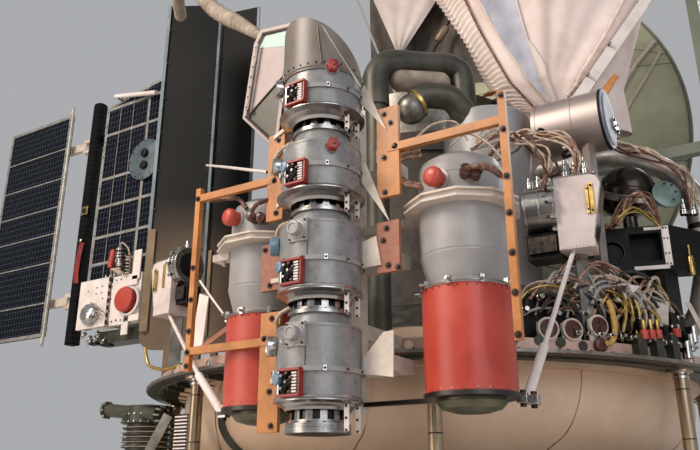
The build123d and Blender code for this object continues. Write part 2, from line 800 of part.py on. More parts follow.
def build_white_struts():
    """Adjustable struts from the star trackers down to the feet of the bottles."""
    struts = []
    seal_low = tracker_low - tracker_seal_height
    for index, (side, knee) in enumerate(white_strut_table):
        angle = radians(tracker_angle)
        head_x = side * (tracker_radius * sin(angle) - strut_head_x)
        head = (head_x, -tracker_radius * cos(angle) - strut_head_y, seal_low)
        bottle_side, bottle_x, lug_angle = bottle_table[index]
        foot_x = bottle_x + strut_foot_reach * cos(radians(lug_angle))
        foot = (foot_x, bottle_y + strut_foot_reach * sin(radians(lug_angle)), foot_ring_low)
        strut = section_along(head, knee, Circle(strut_rod_radius))
        strut += section_along(knee, foot, Circle(strut_tube_radius))
        strut += Pos(*knee) * Sphere(strut_tube_radius)
        strut -= Pos(head_x, 0, 0) * upright_box(8 * rim_radius, 8 * rim_radius, seal_low, 2 * seal_low)
        below = upright_box(2 * lug_reach, 2 * lug_reach, foot_ring_low - lug_reach, foot_ring_high)
        strut -= Pos(foot_x, foot[1], 0) * below
        struts.append(strut)
    nodes["white_struts"] = struts


def build_wing_root(name, side):
    """Beams from the tank to an upright post with the lugs of the root hinges."""
    post_x = side * (wing_root_x - root_post_offset)
    root = Pos(post_x, 0, 0) * upright_box(root_post_size, root_post_size, root_post_low, root_post_high)
    for z in root_beam_z:
        beam = bar((side * (tank_radius - 20), 0, z), (post_x, 0, z), root_post_size, root_post_size)
        root += beam - tank_solid()
    for z in hinge_z:
        centre = Pos(side * wing_root_x, wing_root_y, z)
        lug_length = root_post_offset - hinge_radius
        lug = Pos(post_x + side * lug_length / 2, wing_root_y / 2, z)
        lug = lug * Box(lug_length, wing_root_y + hinge_knuckle, knuckle_height)
        root += lug - centre * Cylinder(hinge_knuckle - 1, 2 * knuckle_height)
        root += centre * (Cylinder(hinge_knuckle, knuckle_height) - Cylinder(hinge_radius, 2 * knuckle_height))
    nodes["wing_root_" + name] = [root]


def build_inner_wing(name, side):
    """Inner panel, and the spar with its rails, hinge ears, pins and fold lugs."""
    inner_z = (wing_bottom_z + inner_top_z) / 2
    inner_mid = side * (inner_panel_start + inner_panel_end) / 2
    inner_width = inner_panel_end - inner_panel_start
    inner = Pos(inner_mid, 0, inner_z) * Box(inner_width, panel_thickness, inner_top_z - wing_bottom_z)
    nodes["inner_panel_" + name] = [inner]

    spar = Pos(side * spar_x, 0, 0) * upright_box(spar_size, spar_size, wing_bottom_z - spar_overhang, wing_top_z)
    ear_x = side * (wing_root_x + 1.3 * hinge_knuckle)
    rail_y = (panel_thickness + rail_depth) / 2
    link_x = side * (inner_panel_start + 0.6 * link_width)
    for z in hinge_z:
        spar += Pos(side * wing_root_x, wing_root_y, z) * Cylinder(hinge_radius - pin_clearance, pin_height)
        for offset in (-ear_spacing, ear_spacing):
            spar += Pos(ear_x, wing_root_y, z + offset) * Box(ear_length, 2 * hinge_knuckle, ear_height)
        spar += Pos(link_x, wing_root_y - 6, z) * Box(link_width, link_depth, pin_height)
        rail_end = side * (spar_x - spar_size / 2)
        spar += bar((side * inner_panel_start, rail_y, z), (rail_end, rail_y, z), rail_depth, rail_height)
    spar = spar - inner
    for z in hinge_z:
        arm = Pos(side * (fold_x - 20), fold_y / 2 + 10, z) * Box(fold_arm_width, fold_y, knuckle_height)
        fold = Pos(side * fold_x, fold_y, z)
        arm = arm - fold * Cylinder(hinge_radius + 3, 2 * knuckle_height)
        spar += arm + fold * (Cylinder(hinge_knuckle, knuckle_height) - Cylinder(hinge_radius, 2 * knuckle_height))
    nodes["wing_spar_" + name] = [spar]


def build_outer_wing(name, side):
    """Outer panel, and the arms that hold it on the fold hinge's pins."""
    outer_mid = side * (outer_panel_start + outer_panel_end) / 2
    outer_width = outer_panel_end - outer_panel_start
    outer_z = (wing_bottom_z + wing_top_z) / 2
    outer = Pos(outer_mid, 0, outer_z) * Box(outer_width, panel_thickness, wing_top_z - wing_bottom_z)
    nodes["outer_panel_" + name] = [outer]

    arms = []
    ear_x = fold_x + fold_ear_length / 2 - hinge_knuckle
    ear_end = fold_x + fold_ear_length - hinge_knuckle
    bridge_x = ear_end - fold_bridge_width / 2
    beam_start = ear_end - fold_bridge_width
    beam_length = outer_panel_start + fold_beam_overlap - beam_start
    beam_y = fold_y - wing_arm_inset
    gap = beam_y - wing_arm_size / 2 - panel_thickness / 2
    for z in hinge_z:
        piece = Pos(side * fold_x, fold_y, z) * Cylinder(hinge_radius - pin_clearance, pin_height)
        for offset in (-ear_spacing, ear_spacing):
            piece += Pos(side * ear_x, fold_y, z + offset) * Box(fold_ear_length, 2 * hinge_knuckle, ear_height)
        piece += Pos(side * bridge_x, fold_y, z) * Box(fold_bridge_width, 2 * hinge_knuckle, pin_height)
        beam = Pos(side * (beam_start + beam_length / 2), beam_y, z)
        piece += beam * Box(beam_length, wing_arm_size, wing_arm_height)
        spacer = Pos(side * (outer_panel_start + 0.55 * fold_beam_overlap), (panel_thickness + gap) / 2, z)
        piece += spacer * Box(wing_arm_height, gap, wing_arm_height)
        arms.append(piece)
    nodes["outer_arms_" + name] = arms


def build_wings():
    """Two folding solar wings, each with its root, inner wing and outer wing."""
    for name, side in (("left", -1), ("right", 1)):
        build_wing_root(name, side)
        build_inner_wing(name, side)
        build_outer_wing(name, side)


def build_dish():
    """Dish antenna behind the tank, its mast, and the feed on struts."""
    sphere_radius = dish_radius**2 / (2 * dish_depth) + dish_depth / 2
    place = Pos(0, dish_vertex_y, dish_z) * Rot(-90, 0, 0) * Pos(0, 0, sphere_radius)
    slab = Pos(0, 0, dish_depth / 2 - sphere_radius) * Box(3 * dish_radius, 3 * dish_radius, dish_depth)
    outer = slab & Sphere(sphere_radius)
    inner = slab & Sphere(sphere_radius - dish_wall)
    nodes["dish_bowl"] = [place * (outer - inner)]

    beam_z = dish_z - dish_mast_drop
    mast_start = (0, tank_radius - dish_mast_overlap, beam_z)
    mast = bar(mast_start, (0, dish_vertex_y + dish_mast_overlap, beam_z), dish_mast_width, dish_mast_width)
    mast = mast - tank_solid() - place * Sphere(sphere_radius)
    nodes["dish_mast"] = [mast]

    foot_radius = dish_radius * feed_foot_share
    foot_y = dish_vertex_y + sphere_radius - sqrt((sphere_radius - dish_wall) ** 2 - foot_radius**2)
    head_radius = feed_radius * feed_foot_share
    feed = Pos(0, feed_y, dish_z) * Rot(90, 0, 0) * Cylinder(feed_radius, feed_length)
    for angle in (90, 210, 330):
        x = cos(radians(angle))
        z = sin(radians(angle))
        foot = (foot_radius * x, foot_y + dish_wall / 2, dish_z + foot_radius * z)
        head = (head_radius * x, feed_y, dish_z + head_radius * z)
        feed += section_along(foot, head, Circle(feed_strut_radius))
    feed = feed - place * (Sphere(sphere_radius + 5 * dish_wall) - Sphere(sphere_radius - dish_wall))
    nodes["dish_feed"] = [feed]


def build_upper_deck():
    """Adapter ring and deck on the tank, with an arm to the covered instrument at the front right."""
    nodes["tank_adapter"] = [tube_ring(adapter_radius, adapter_radius - adapter_wall, tank_top_z, deck_z)]
    deck_top = deck_z + deck_thickness
    arm = Rot(0, 0, deck_arm_angle) * Pos(0, -deck_arm_reach / 2, 0)
    nodes["upper_deck"] = [
        upright(deck_radius, deck_z, deck_top) + arm * upright_box(deck_arm_width, deck_arm_reach, deck_z, deck_top)
    ]
    slot = arm * upright_box(
        deck_arm_width + 2 * seat_gap, deck_arm_reach + 2 * seat_gap, deck_z - seat_gap, deck_top + seat_gap
    )
    sections = []
    for x, y, half_width, half_depth, z in cover_table:
        sections.append(Pos(x, y, z) * Rot(0, 0, cover_turn) * Ellipse(half_width, half_depth))
    nodes["fabric_cover"] = [loft(sections) - slot]


def shield_sheet(shield):
    """Upright radial sheet on the rim between two radii, with its lower outer corner rounded."""
    angle, inner, outer, low, high, corner = shield
    sheet = Pos(0, -(inner + outer) / 2, 0) * upright_box(shield_thickness, outer - inner, low, high)
    edge = sheet.edges().filter_by(Axis.X).sort_by(lambda e: e.center().Z + e.center().Y)[0]
    return Rot(0, 0, angle) * fillet(edge, corner)


def build_shields():
    """Two tall radial shields on feet beside the left star tracker."""
    angle, inner, outer, low, high, corner = front_shield
    edge = Rot(0, 0, angle) * Pos(-shield_flange / 2 + shield_thickness / 2, -inner, 0)
    flange = edge * upright_box(shield_flange, shield_thickness, low + shield_flange_rise, high)
    nodes["front_shield"] = [shield_sheet(front_shield) + flange]
    nodes["rear_shield"] = [shield_sheet(rear_shield)]
    feet = []
    for angle, inner, outer, low, high, corner in (front_shield, rear_shield):
        for radius in shield_foot_radii:
            foot = upright_box(shield_foot_width, shield_foot_depth, rim_z, low)
            feet.append(rim_place(angle, radius, 0) * foot)
    nodes["shield_feet"] = feet


def build_camera():
    """Camera box with its port and window, on a pedestal, and the bulb tank behind it."""
    angle = radians(camera_angle)
    place = Pos(camera_reach * sin(angle), -camera_reach * cos(angle), 0) * Rot(0, 0, camera_turn)
    corners = ((-camera_length, 0), (0, 0), (camera_slant, camera_depth), (-camera_length, camera_depth))
    outline = make_face(Polyline(*corners, close=True))
    box = Pos(0, 0, camera_low) * extrude(outline, camera_high - camera_low)
    port = Pos(camera_port_offset, 0, camera_port_z) * Rot(90, 0, 0)
    window = Pos(camera_window_offset, 0, camera_window_z)
    box -= port * Cylinder(camera_port_radius, 2 * camera_hole_depth)
    box -= window * Box(camera_window_size, 2 * camera_hole_depth, camera_window_size)
    nodes["camera_box"] = [place * box]
    pedestal = rim_place(pedestal_angle, pedestal_reach, 0)
    nodes["camera_pedestal"] = [pedestal * upright_box(pedestal_width, pedestal_depth, rim_z, camera_low)]

    bulb = Pos(0, 0, bulb_z) * Sphere(bulb_radius) + upright(bulb_post_radius, hull_centre_z, bulb_z)
    nodes["bulb_tank"] = [rim_place(bulb_angle, bulb_reach, 0) * bulb - nodes["ring_hull"][0]]


def build_baffle():
    """Baffle barrel on its post, with hinge ears and a lid that closes its mouth."""
    mouth_x = baffle_x + baffle_length / 2
    lie = Pos(baffle_x, baffle_y, baffle_z) * Rot(0, 90, 0)
    solid = lie * Cylinder(baffle_radius, baffle_length)
    bore = Pos(0, 0, baffle_floor) * Cylinder(baffle_radius - baffle_wall, baffle_length)
    stalk = rim_place(baffle_stalk_angle, baffle_stalk_reach, 0)
    stalk = stalk * upright_box(baffle_stalk_size, baffle_stalk_size, rim_z, baffle_z)
    nodes["baffle_barrel"] = [solid - lie * bore + (stalk - solid)]

    hub_radius = lid_pin_radius + lid_hub_wall
    hinge_x = mouth_x + lid_clearance
    hinge_y = baffle_y + baffle_radius + hub_radius + hinge_gap
    ears = None
    for side in (-1, 1):
        z = baffle_z + side * lid_ear_spacing
        ear = Pos(mouth_x - lid_ear_length / 2, hinge_y - 3, z) * Box(lid_ear_length, lid_ear_depth, lid_ear_height)
        ear += Pos(hinge_x, hinge_y, z) * Cylinder(hub_radius, lid_ear_height)
        ear -= Pos(hinge_x, hinge_y, z) * Cylinder(lid_pin_radius, 2 * lid_ear_height)
        ears = ear if ears is None else ears + ear
    nodes["lid_ears"] = [ears - solid]

    disc = Pos(hinge_x + lid_thickness / 2, baffle_y, baffle_z) * Rot(0, 90, 0)
    lid = disc * Cylinder(baffle_radius, lid_thickness)
    tongue_y = hinge_y - lid_tongue_length / 2
    lid += Pos(hinge_x + lid_thickness / 2, tongue_y, baffle_z) * Box(lid_thickness, lid_tongue_length, lid_hub_height)
    lid += Pos(hinge_x, hinge_y, baffle_z) * Cylinder(lid_pin_radius - pin_clearance, lid_pin_height)
    lid += Pos(hinge_x, hinge_y, baffle_z) * Cylinder(hub_radius, lid_hub_height)
    nodes["baffle_lid"] = [lid]


def build_ducts():
    """Rear canister, the ducts that reach it and the tank, the pod, and the square brace."""
    rear = upright(rear_canister_radius, rear_canister_low, rear_canister_top)
    rear = fillet(rear.edges().sort_by(Axis.Z)[-1], rear_canister_round)
    rear += upright(rear_foot_radius, hull_centre_z, rear_canister_low)
    rear = rim_place(rear_canister_angle, rear_canister_ring, 0) * rear
    above_skirt = rear - nodes["ring_hull"][0] - nodes["tank_skirt"][0]
    nodes["rear_canister"] = [above_skirt.solids().sort_by(SortBy.VOLUME)[-1]]

    ducts = {}
    for name, radius, route in duct_table:
        arcs = [bend for *_, bend in route[1:-1]]
        path = FilletPolyline(*[(x, y, z) for x, y, z, bend in route], radius=arcs)
        duct = sweep(Plane(origin=path @ 0, z_dir=path % 0) * Circle(radius), path=path)
        ducts[name] = duct - nodes["ring_hull"][0] - tank_solid() - rear
    x, y, z, bend = duct_table[2][2][-1]
    elbow = ducts["elbow_duct"] + Pos(x, y, z) * Sphere(elbow_ball_radius)
    elbow += section_along((x, y, z), (arch_foot_x, arch_foot_y, z), Circle(elbow_ball_radius / 4))
    nodes["arch_duct"] = [ducts["arch_duct"]]
    nodes["side_duct"] = [ducts["side_duct"]]
    nodes["elbow_duct"] = [elbow - ducts["arch_duct"]]

    span_start = Vector(arch_foot_x, arch_foot_y, arch_start_z - pod_drop)
    span = Vector(arch_end_x, arch_end_y, arch_end_z - pod_drop) - span_start
    start, end = [span_start + span * share for share in pod_shares]
    pod = section_along(start, end, Circle(pod_radius))
    pod += Pos(start) * Sphere(pod_radius) + Pos(end) * Sphere(pod_radius)
    nodes["duct_pod"] = [pod - ducts["arch_duct"]]

    brace = section_along(brace_low, brace_high, Rectangle(brace_size, brace_size))
    nodes["square_brace"] = [brace - rear - nodes["wing_root_right"][0]]


def build_left_cluster():
    """Two plate boxes on the front of the left inner panel."""
    pieces = []
    for x, width, depth, low, high in cluster_table:
        y = -panel_thickness / 2 - depth / 2
        pieces.append(Pos(x, y, 0) * upright_box(width, depth, low, high))
    nodes["wing_instruments"] = pieces


def build_gas_bottles():
    """Round bottles on cups around the back of the hull."""
    bottles = []
    bottle = Pos(0, 0, gas_z) * Sphere(gas_radius)
    bottle = bottle + upright(gas_cup_radius, hull_centre_z, gas_z - gas_radius + gas_cup_overlap)
    for angle in gas_angles:
        bottles.append(rim_place(angle, gas_ring, 0) * bottle - nodes["ring_hull"][0])
    nodes["gas_bottles"] = bottles


build_bus()
build_stand()
build_drums()
build_carrier()
build_orange_frame()
build_cowl_and_hood()
build_bottles()
build_trackers()
build_white_struts()
build_wings()
build_dish()
build_upper_deck()
build_shields()
build_camera()
build_baffle()
build_ducts()
build_left_cluster()
build_gas_bottles()

os.makedirs("parts", exist_ok=True)
for name, solids in nodes.items():
    pieces = [solid for shape in solids for solid in shape.solids()]
    export_step(Compound(pieces), "parts/" + name + ".step")
    print(name, len(pieces))
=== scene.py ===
from math import radians

import bpy
import numpy as np
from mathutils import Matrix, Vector


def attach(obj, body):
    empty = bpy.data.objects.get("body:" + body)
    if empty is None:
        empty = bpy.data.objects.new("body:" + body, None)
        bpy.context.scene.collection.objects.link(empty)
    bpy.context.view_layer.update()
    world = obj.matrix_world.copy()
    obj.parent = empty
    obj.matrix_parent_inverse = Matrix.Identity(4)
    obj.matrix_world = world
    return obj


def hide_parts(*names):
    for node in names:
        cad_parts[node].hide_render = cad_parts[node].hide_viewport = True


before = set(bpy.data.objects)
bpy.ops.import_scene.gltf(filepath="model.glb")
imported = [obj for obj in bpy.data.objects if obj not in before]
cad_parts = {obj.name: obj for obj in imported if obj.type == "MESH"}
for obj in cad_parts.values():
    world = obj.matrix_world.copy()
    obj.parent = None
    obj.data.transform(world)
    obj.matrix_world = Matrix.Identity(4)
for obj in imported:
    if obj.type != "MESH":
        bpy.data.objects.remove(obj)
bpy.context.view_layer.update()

# Camera: it stands almost on the floor and looks up at the front group
camera_place = (1.607, -3.364, 0.12)
camera_tilt = 109.5
camera_turn = 31.5
camera_lens = 39.09

# Places of the CAD pieces that the small parts sit on, in millimetres
drum_axis = (443.5, -1628.0)
plate_front = -1591.0
strut_front = -1593.0
bottle_axes = ((811.0, -1447.0), (113.5, -1447.0))
tracker_centres = ((987.8, -788.6, 1), (-987.8, -788.6, -1))
tracker_turn = 8
camera_box_turn = 16
bus_axis = (0, 0)
pot_angle, pot_reach, pot_radius = -58, 1340, 122.5
drum_radius, cowl_radius, bottle_radius = 118, 122.4, 124
web_radius, rim_radius, post_ring = 1262, 1318, 1250
hull_ring, hull_tube, hull_height = 895, 255, 455
dish_back, dish_height, dish_sphere = 640, 2160, 3134.8
wing_face = -14
spar_x = 2650
instrument_face = -190
baffle_y, baffle_z = -606, 1483
bulb_place = (1052, -245, 1304)
bulb_axis = (0.35, -0.5, 0.9)
port_place = (1205, -260, 1262)
port_axis = (0.55, -0.8, 0.15)


def linear(colour):
    """Linear RGBA of an sRGB hex colour."""
    channels = np.array([int(colour[i:i + 2], 16) for i in (1, 3, 5)]) / 255
    channels = np.where(channels <= 0.04045, channels / 12.92, ((channels + 0.055) / 1.055) ** 2.4)
    return (*channels.tolist(), 1.0)


def add(tree, kind, values=None, links=None, **settings):
    """One shader node with its settings, its input values and the outputs that feed it."""
    node = tree.nodes.new("ShaderNode" + kind)
    for name, value in settings.items():
        setattr(node, name, value)
    for name, value in (values or {}).items():
        node.inputs[name].default_value = value
    for name, source in (links or {}).items():
        tree.links.new(source, node.inputs[name])
    return node


def blank(name, metallic, roughness, **values):
    """Material with a principled shader whose plain values are set on its own sockets."""
    material = bpy.data.materials.new(name)
    material.use_nodes = True
    shader = material.node_tree.nodes["Principled BSDF"]
    shader.inputs["Metallic"].default_value = metallic
    shader.inputs["Roughness"].default_value = roughness
    for socket, value in values.items():
        shader.inputs[socket.replace("_", " ")].default_value = value
    return material, material.node_tree, shader


def finish(name, colours, patch, grain, relief, metallic, roughness, stretch=(1, 1, 1),
           spread=0.12, **values):
    """Finish whose colour wanders through its colours in patches of that many mm, stretched along an axis
    where it was turned or brushed, with a fine grain in relief and a gloss that varies by the spread."""
    material, tree, shader = blank(name, metallic, roughness, **values)
    place = add(tree, "TexCoord").outputs["Object"]
    drawn = add(tree, "Mapping", {"Scale": stretch}, {"Vector": place}).outputs["Vector"]
    patches = add(tree, "TexNoise", {"Scale": 1000 / patch, "Detail": 5.0, "Roughness": 0.62},
                  {"Vector": drawn})
    ramp = add(tree, "ValToRGB", links={"Fac": patches.outputs["Fac"]})
    colours = colours.split()
    for index, (stop, colour) in enumerate(zip(np.linspace(0.34, 0.66, len(colours)), colours)):
        element = ramp.color_ramp.elements[index] if index < 2 else ramp.color_ramp.elements.new(stop)
        element.position = stop
        element.color = linear(colour)
    fine = add(tree, "TexNoise", {"Scale": 1000 / grain, "Detail": 3.0}, {"Vector": drawn})
    gloss = add(tree, "MapRange",
                {"To Min": max(roughness - spread, 0.05), "To Max": min(roughness + spread, 1.0)},
                {"Value": patches.outputs["Fac"]})
    bump = add(tree, "Bump", {"Distance": relief / 1000}, {"Height": fine.outputs["Fac"]})
    tree.links.new(ramp.outputs["Color"], shader.inputs["Base Color"])
    tree.links.new(gloss.outputs["Result"], shader.inputs["Roughness"])
    tree.links.new(bump.outputs["Normal"], shader.inputs["Normal"])
    return material


def changed_near(material, scale, centre, reach, colour, metallic):
    """The finish turns into a plain one where the scaled place, in mm, is within reach of the centre."""
    tree = material.node_tree
    shader = tree.nodes["Principled BSDF"]
    place = add(tree, "Mapping", {"Scale": tuple(1000 * s for s in scale)},
                {"Vector": add(tree, "TexCoord").outputs["Object"]})
    gap = add(tree, "VectorMath", {1: centre}, {0: place.outputs["Vector"]}, operation="DISTANCE")
    near = add(tree, "MapRange", {"From Min": reach + 1, "From Max": reach - 1},
               {"Value": gap.outputs["Value"]})
    first = shader.inputs["Base Color"].links[0].from_socket
    mixed = add(tree, "MixRGB", {"Color2": linear(colour)}, {"Fac": near.outputs["Result"], "Color1": first})
    shine = add(tree, "MapRange", {"To Min": shader.inputs["Metallic"].default_value, "To Max": metallic},
                {"Value": near.outputs["Result"]})
    tree.links.new(mixed.outputs["Color"], shader.inputs["Base Color"])
    tree.links.new(shine.outputs["Result"], shader.inputs["Metallic"])
    return material


def painted_shade_above(material, low, high, colour):
    """Painted shade: the finish darkens to a second colour between two heights in mm."""
    tree = material.node_tree
    shader = tree.nodes["Principled BSDF"]
    height = add(tree, "SeparateXYZ", links={"Vector": add(tree, "TexCoord").outputs["Object"]}).outputs["Z"]
    share = add(tree, "MapRange", {"From Min": low / 1000, "From Max": high / 1000}, {"Value": height})
    first = shader.inputs["Base Color"].links[0].from_socket
    mixed = add(tree, "MixRGB", {"Color2": linear(colour)}, {"Fac": share.outputs["Result"], "Color1": first})
    tree.links.new(mixed.outputs["Color"], shader.inputs["Base Color"])
    return material


def gridded(material, directions, pitches, line, colour):
    """Thin lines drawn over a finish every pitch mm along each direction, such as cell edges or seams."""
    tree = material.node_tree
    shader = tree.nodes["Principled BSDF"]
    place = add(tree, "TexCoord").outputs["Object"]
    colours = shader.inputs["Base Color"].links[0].from_socket
    for direction, pitch in zip(directions, pitches):
        along = add(tree, "VectorMath", {1: direction}, {0: place}, operation="DOT_PRODUCT")
        steps = add(tree, "Math", {1: pitch / 1000}, {0: along.outputs["Value"]}, operation="PINGPONG")
        is_line = add(tree, "Math", {1: line / 2000}, {0: steps.outputs[0]}, operation="LESS_THAN")
        mixed = add(tree, "MixRGB", {"Color2": linear(colour)},
                    {"Fac": is_line.outputs[0], "Color1": colours})
        colours = mixed.outputs["Color"]
    tree.links.new(colours, shader.inputs["Base Color"])
    return material


# Cream enamel on the hull: broad warm clouds, eggshell gloss
cream_enamel = finish("cream_enamel", "#c2a287 #d2b295 #debfa4", 420, 14, 0.5, 0.0, 0.42)
# Grey gloss enamel on the bottles: smooth, faint orange peel
grey_enamel = finish("grey_enamel", "#8b8785 #94908e #9c9896", 150, 9, 0.25, 0.0, 0.34)
# Grey hammer-tone enamel on the drums
drum_enamel = finish("drum_enamel", "#757575 #807f7e #8a8886", 36, 7, 0.5, 0.15, 0.3)
# Vermilion enamel on the sleeves, a little scuffed
red_enamel = finish("red_enamel", "#a03426 #ad3c2d #b64838", 170, 8, 0.25, 0.0, 0.36)
# Terracotta primer on small plates
terracotta = finish("terracotta", "#86503b #925a45 #9b6651", 30, 6, 0.3, 0.0, 0.55)
# Ochre-orange enamel of the frame: darker where hands and tools rubbed it
orange_enamel = finish("orange_enamel", "#9a5f24 #ae6e32 #bb7a3c", 70, 9, 0.25, 0.0, 0.42)
# White enamel, slightly warm
white_enamel = finish("white_enamel", "#d0c4bc #dccfc8 #e3d8d1", 90, 8, 0.2, 0.0, 0.42)
# Pinkish chromate primer on brackets and collars
pale_primer = finish("pale_primer", "#b3a497 #c4b6a8 #d0c4b7", 60, 6, 0.2, 0.0, 0.5)
# Weathered aluminium alloy plate: grey with darker clouds
dull_aluminium = finish("dull_aluminium", "#6f6a62 #858079 #9a958d", 60, 5, 0.2, 1.0, 0.42)
# Turned steel, with fine rings round the upright axis
turned_steel = finish("turned_steel", "#8f8b88 #a8a4a0 #bdb9b5", 90, 3, 0.15, 1.0, 0.22, (0.3, 0.3, 6))
# Brushed steel sheet rolled into a barrel, brushed along X
brushed_steel = finish("brushed_steel", "#a3958f #b5a7a1 #c4b7b1", 200, 4, 0.15, 1.0, 0.5, (0.12, 2, 2))
# Bright machined fittings
bright_metal = finish("bright_metal", "#a5a19c #b9b5b0 #cbc7c2", 20, 3, 0.1, 1.0, 0.2)
# Heat-tinted bronze sheet of the shields: brown, oily, with fine spatter, darkened to near black from 950 to
# 1600 mm up as painted shade on the upper parts
bronze_sheet = painted_shade_above(
    finish("bronze_sheet", "#584a3d #6e5d4d #7f6d5b", 520, 16, 0.5, 0.3, 0.6,
           Specular_IOR_Level=0.25), 950, 1600, "#0a0a08")
# Dark grey-brown paint of the cowl
cowl_paint = finish("cowl_paint", "#5f564f #6b625a #756b62", 160, 7, 0.25, 0.1, 0.42)
# Crinkled black wrap and matt black paint
black_paint = finish("black_paint", "#080807 #0e0d0c #161412", 70, 12, 0.8, 0.0, 0.6,
                     Specular_IOR_Level=0.25)
# Grey-green enamel of the dish and the tank's panels
green_grey = finish("green_grey", "#565a4c #64685a #737768", 380, 12, 0.4, 0.0, 0.5)
# Dark quilted blanket round the tank
dark_blanket = finish("dark_blanket", "#26211c #3b332c #4e4338", 160, 60, 9.0, 0.0, 0.7)
# Olive-grey metal of ducts, faintly oily
olive_metal = finish("olive_metal", "#3d3a31 #4c4940 #5d5950", 140, 10, 0.4, 0.6, 0.45)
# Light grey duct metal
pale_duct = finish("pale_duct", "#8d8983 #a8a49e #c0bbb4", 120, 10, 0.3, 0.8, 0.4)
# Pale tan ribbed cloth over the pod
tan_cloth = finish("tan_cloth", "#837464 #998a7a #a99b8c", 50, 5, 1.0, 0.0, 0.85)
# Brass and gilt fittings
brass = finish("brass", "#9c8149 #b39655 #c4a96c", 30, 5, 0.1, 1.0, 0.3)
# Old bronze-coloured tube of the posts
post_metal = finish("post_metal", "#94836a #ad9a7f #c2ae92", 120, 6, 0.2, 1.0, 0.3, (2, 2, 0.15))
# Blue-grey paint of the stand
stand_paint = finish("stand_paint", "#474e52 #50585c #5b6266", 140, 8, 0.3, 0.0, 0.45)
# Dark olive of the pot, and painted shade on the underside of the rim
dark_olive = finish("dark_olive", "#2b2b22 #3a392d #49473a", 90, 9, 0.4, 0.3, 0.4)
# Anodised pale green plate
sea_green = finish("sea_green", "#5f7069 #6f817a #7f9189", 60, 6, 0.2, 0.4, 0.4)
# Undyed cotton braid of the cables
pale_braid = finish("pale_braid", "#9b8571 #b59f8c #cdbbaa", 14, 3, 0.6, 0.1, 0.6)
# Brown cotton braid
brown_braid = finish("brown_braid", "#3c241b #5e3c2e #85604c", 14, 3, 0.6, 0.2, 0.5)
# Dark waxed braid
dark_braid = finish("dark_braid", "#1c1916 #2b2621 #3c352e", 14, 3, 0.6, 0.1, 0.55)
# Tinned copper braid, dulled
copper_braid = finish("copper_braid", "#6f4a38 #97715d #c4a391", 9, 3, 0.5, 0.4, 0.4)
# Ochre rubber hose
yellow_hose = finish("yellow_hose", "#a07a35 #b88f44 #c9a256", 20, 4, 0.3, 0.0, 0.5)
# Red-brown bakelite of the round connectors
bakelite = finish("bakelite", "#3a1a13 #4a221a #5c2e24", 30, 5, 0.2, 0.0, 0.3)
# Red caps
red_cap = finish("red_cap", "#771c13 #87261b #953024", 40, 5, 0.2, 0.0, 0.3)
# Blue-grey knobs
blue_knob = finish("blue_knob", "#5b7385 #6d8597 #8097a8", 20, 3, 0.2, 0.2, 0.35)
# Dark steel screws
dark_steel = finish("dark_steel", "#2a2522 #3a3430 #4b443f", 20, 3, 0.2, 0.9, 0.35)
# Blue-violet silicon cells under glass, in a fine grid of pale contact lines
cell_glass = gridded(
    finish("cell_glass", "#030409 #05070f #080b16", 70, 8, 0.1, 0.0, 0.4, Specular_IOR_Level=0.1),
    ((1, 0, 0), (0, 0, 1)), (16, 22), 2.2, "#474d5e")
# Pale aluminium strips between the fields of cells
cell_frame = finish("cell_frame", "#8f8a82 #a19c94 #b0aba3", 60, 6, 0.2, 0.6, 0.42)
# Off-white glass cloth: a fine weave with faint yellowing
white_cloth = finish("white_cloth", "#c2b0a5 #d4c4ba #e0d2ca", 260, 4, 0.8, 0.0, 0.92, spread=0.05)
# The same cloth, clean and pinkish, on the cover's body
pink_cloth = finish("pink_cloth", "#cdb7ae #e0ccc3 #e9d9d1", 320, 4, 0.8, 0.0, 0.92, spread=0.05)
# Undyed cotton of the second cloth, darkened with painted shade where it hangs in shade
shaded_cloth = finish("shaded_cloth", "#a3968f #b5a8a1 #c2b6af", 200, 4, 0.8, 0.0, 0.92, spread=0.05)
# Cool grey cotton of the lobe, also darkened with painted shade where the lobe lies in shade
lobe_cloth_and_shade = finish("lobe_cloth_and_shade", "#9b9aa4 #b0afb8 #c2bfc6", 200, 4, 0.8, 0.0, 0.92, spread=0.05)
# Brown webbing over the seam
seam_braid = finish("seam_braid", "#5c3a2e #7a5040 #8f6655", 24, 3, 0.8, 0.0, 0.85, spread=0.05)

# Chromate primer of the drum brackets, rubbed to grey where they clasp the drums
bracket_coat = changed_near(
    finish("bracket_coat", "#b3a497 #c4b6a8 #d0c4b7", 60, 6, 0.2, 0.0, 0.5),
    (1, 1, 0), (*drum_axis, 0), 126, "#8f8b88", 0.2)
# Turned steel of the necks, with painted shade: black inside radius 71 mm, where the recessed windows lie in
# shadow
neck_coat = changed_near(
    finish("neck_coat", "#8f8b88 #a8a4a0 #bdb9b5", 90, 3, 0.15, 1.0, 0.22, (0.3, 0.3, 6)),
    (1, 1, 0), (*drum_axis, 0), 71, "#070707", 0.0)
# Olive anodised feet, with a band of bare steel
foot_coat = changed_near(
    finish("foot_coat", "#55523f #66624d #77735d", 60, 5, 0.1, 0.6, 0.35),
    (0, 0, 1), (0, 0, 362), 8, "#4a4643", 1.0)
# Blue-grey satin enamel of the lid
lid_coat = finish("lid_coat", "#6f747e #7e838d #8f939b", 50, 5, 0.15, 0.1, 0.55)
# Near-white enamel of the tracker heads, smooth
tracker_coat = finish("tracker_coat", "#c0b0a9 #cdbdb7 #d5c7c1", 90, 8, 0.2, 0.0, 0.38)
# Pale green enamel of the dish, with dark seams between its sheets
dish_coat = gridded(
    finish("dish_coat", "#96967a #a7a78a #b6b69c", 380, 12, 0.4, 0.0, 0.5),
    ((0, 0, 1), (0.35, 0, 0.94)), (310, 700), 5, "#3c4036")
# Brown lacquered brass strips
brass_brown = finish("brass_brown", "#5c4c38 #6c5a44 #7b6851", 200, 8, 0.3, 0.5, 0.45)
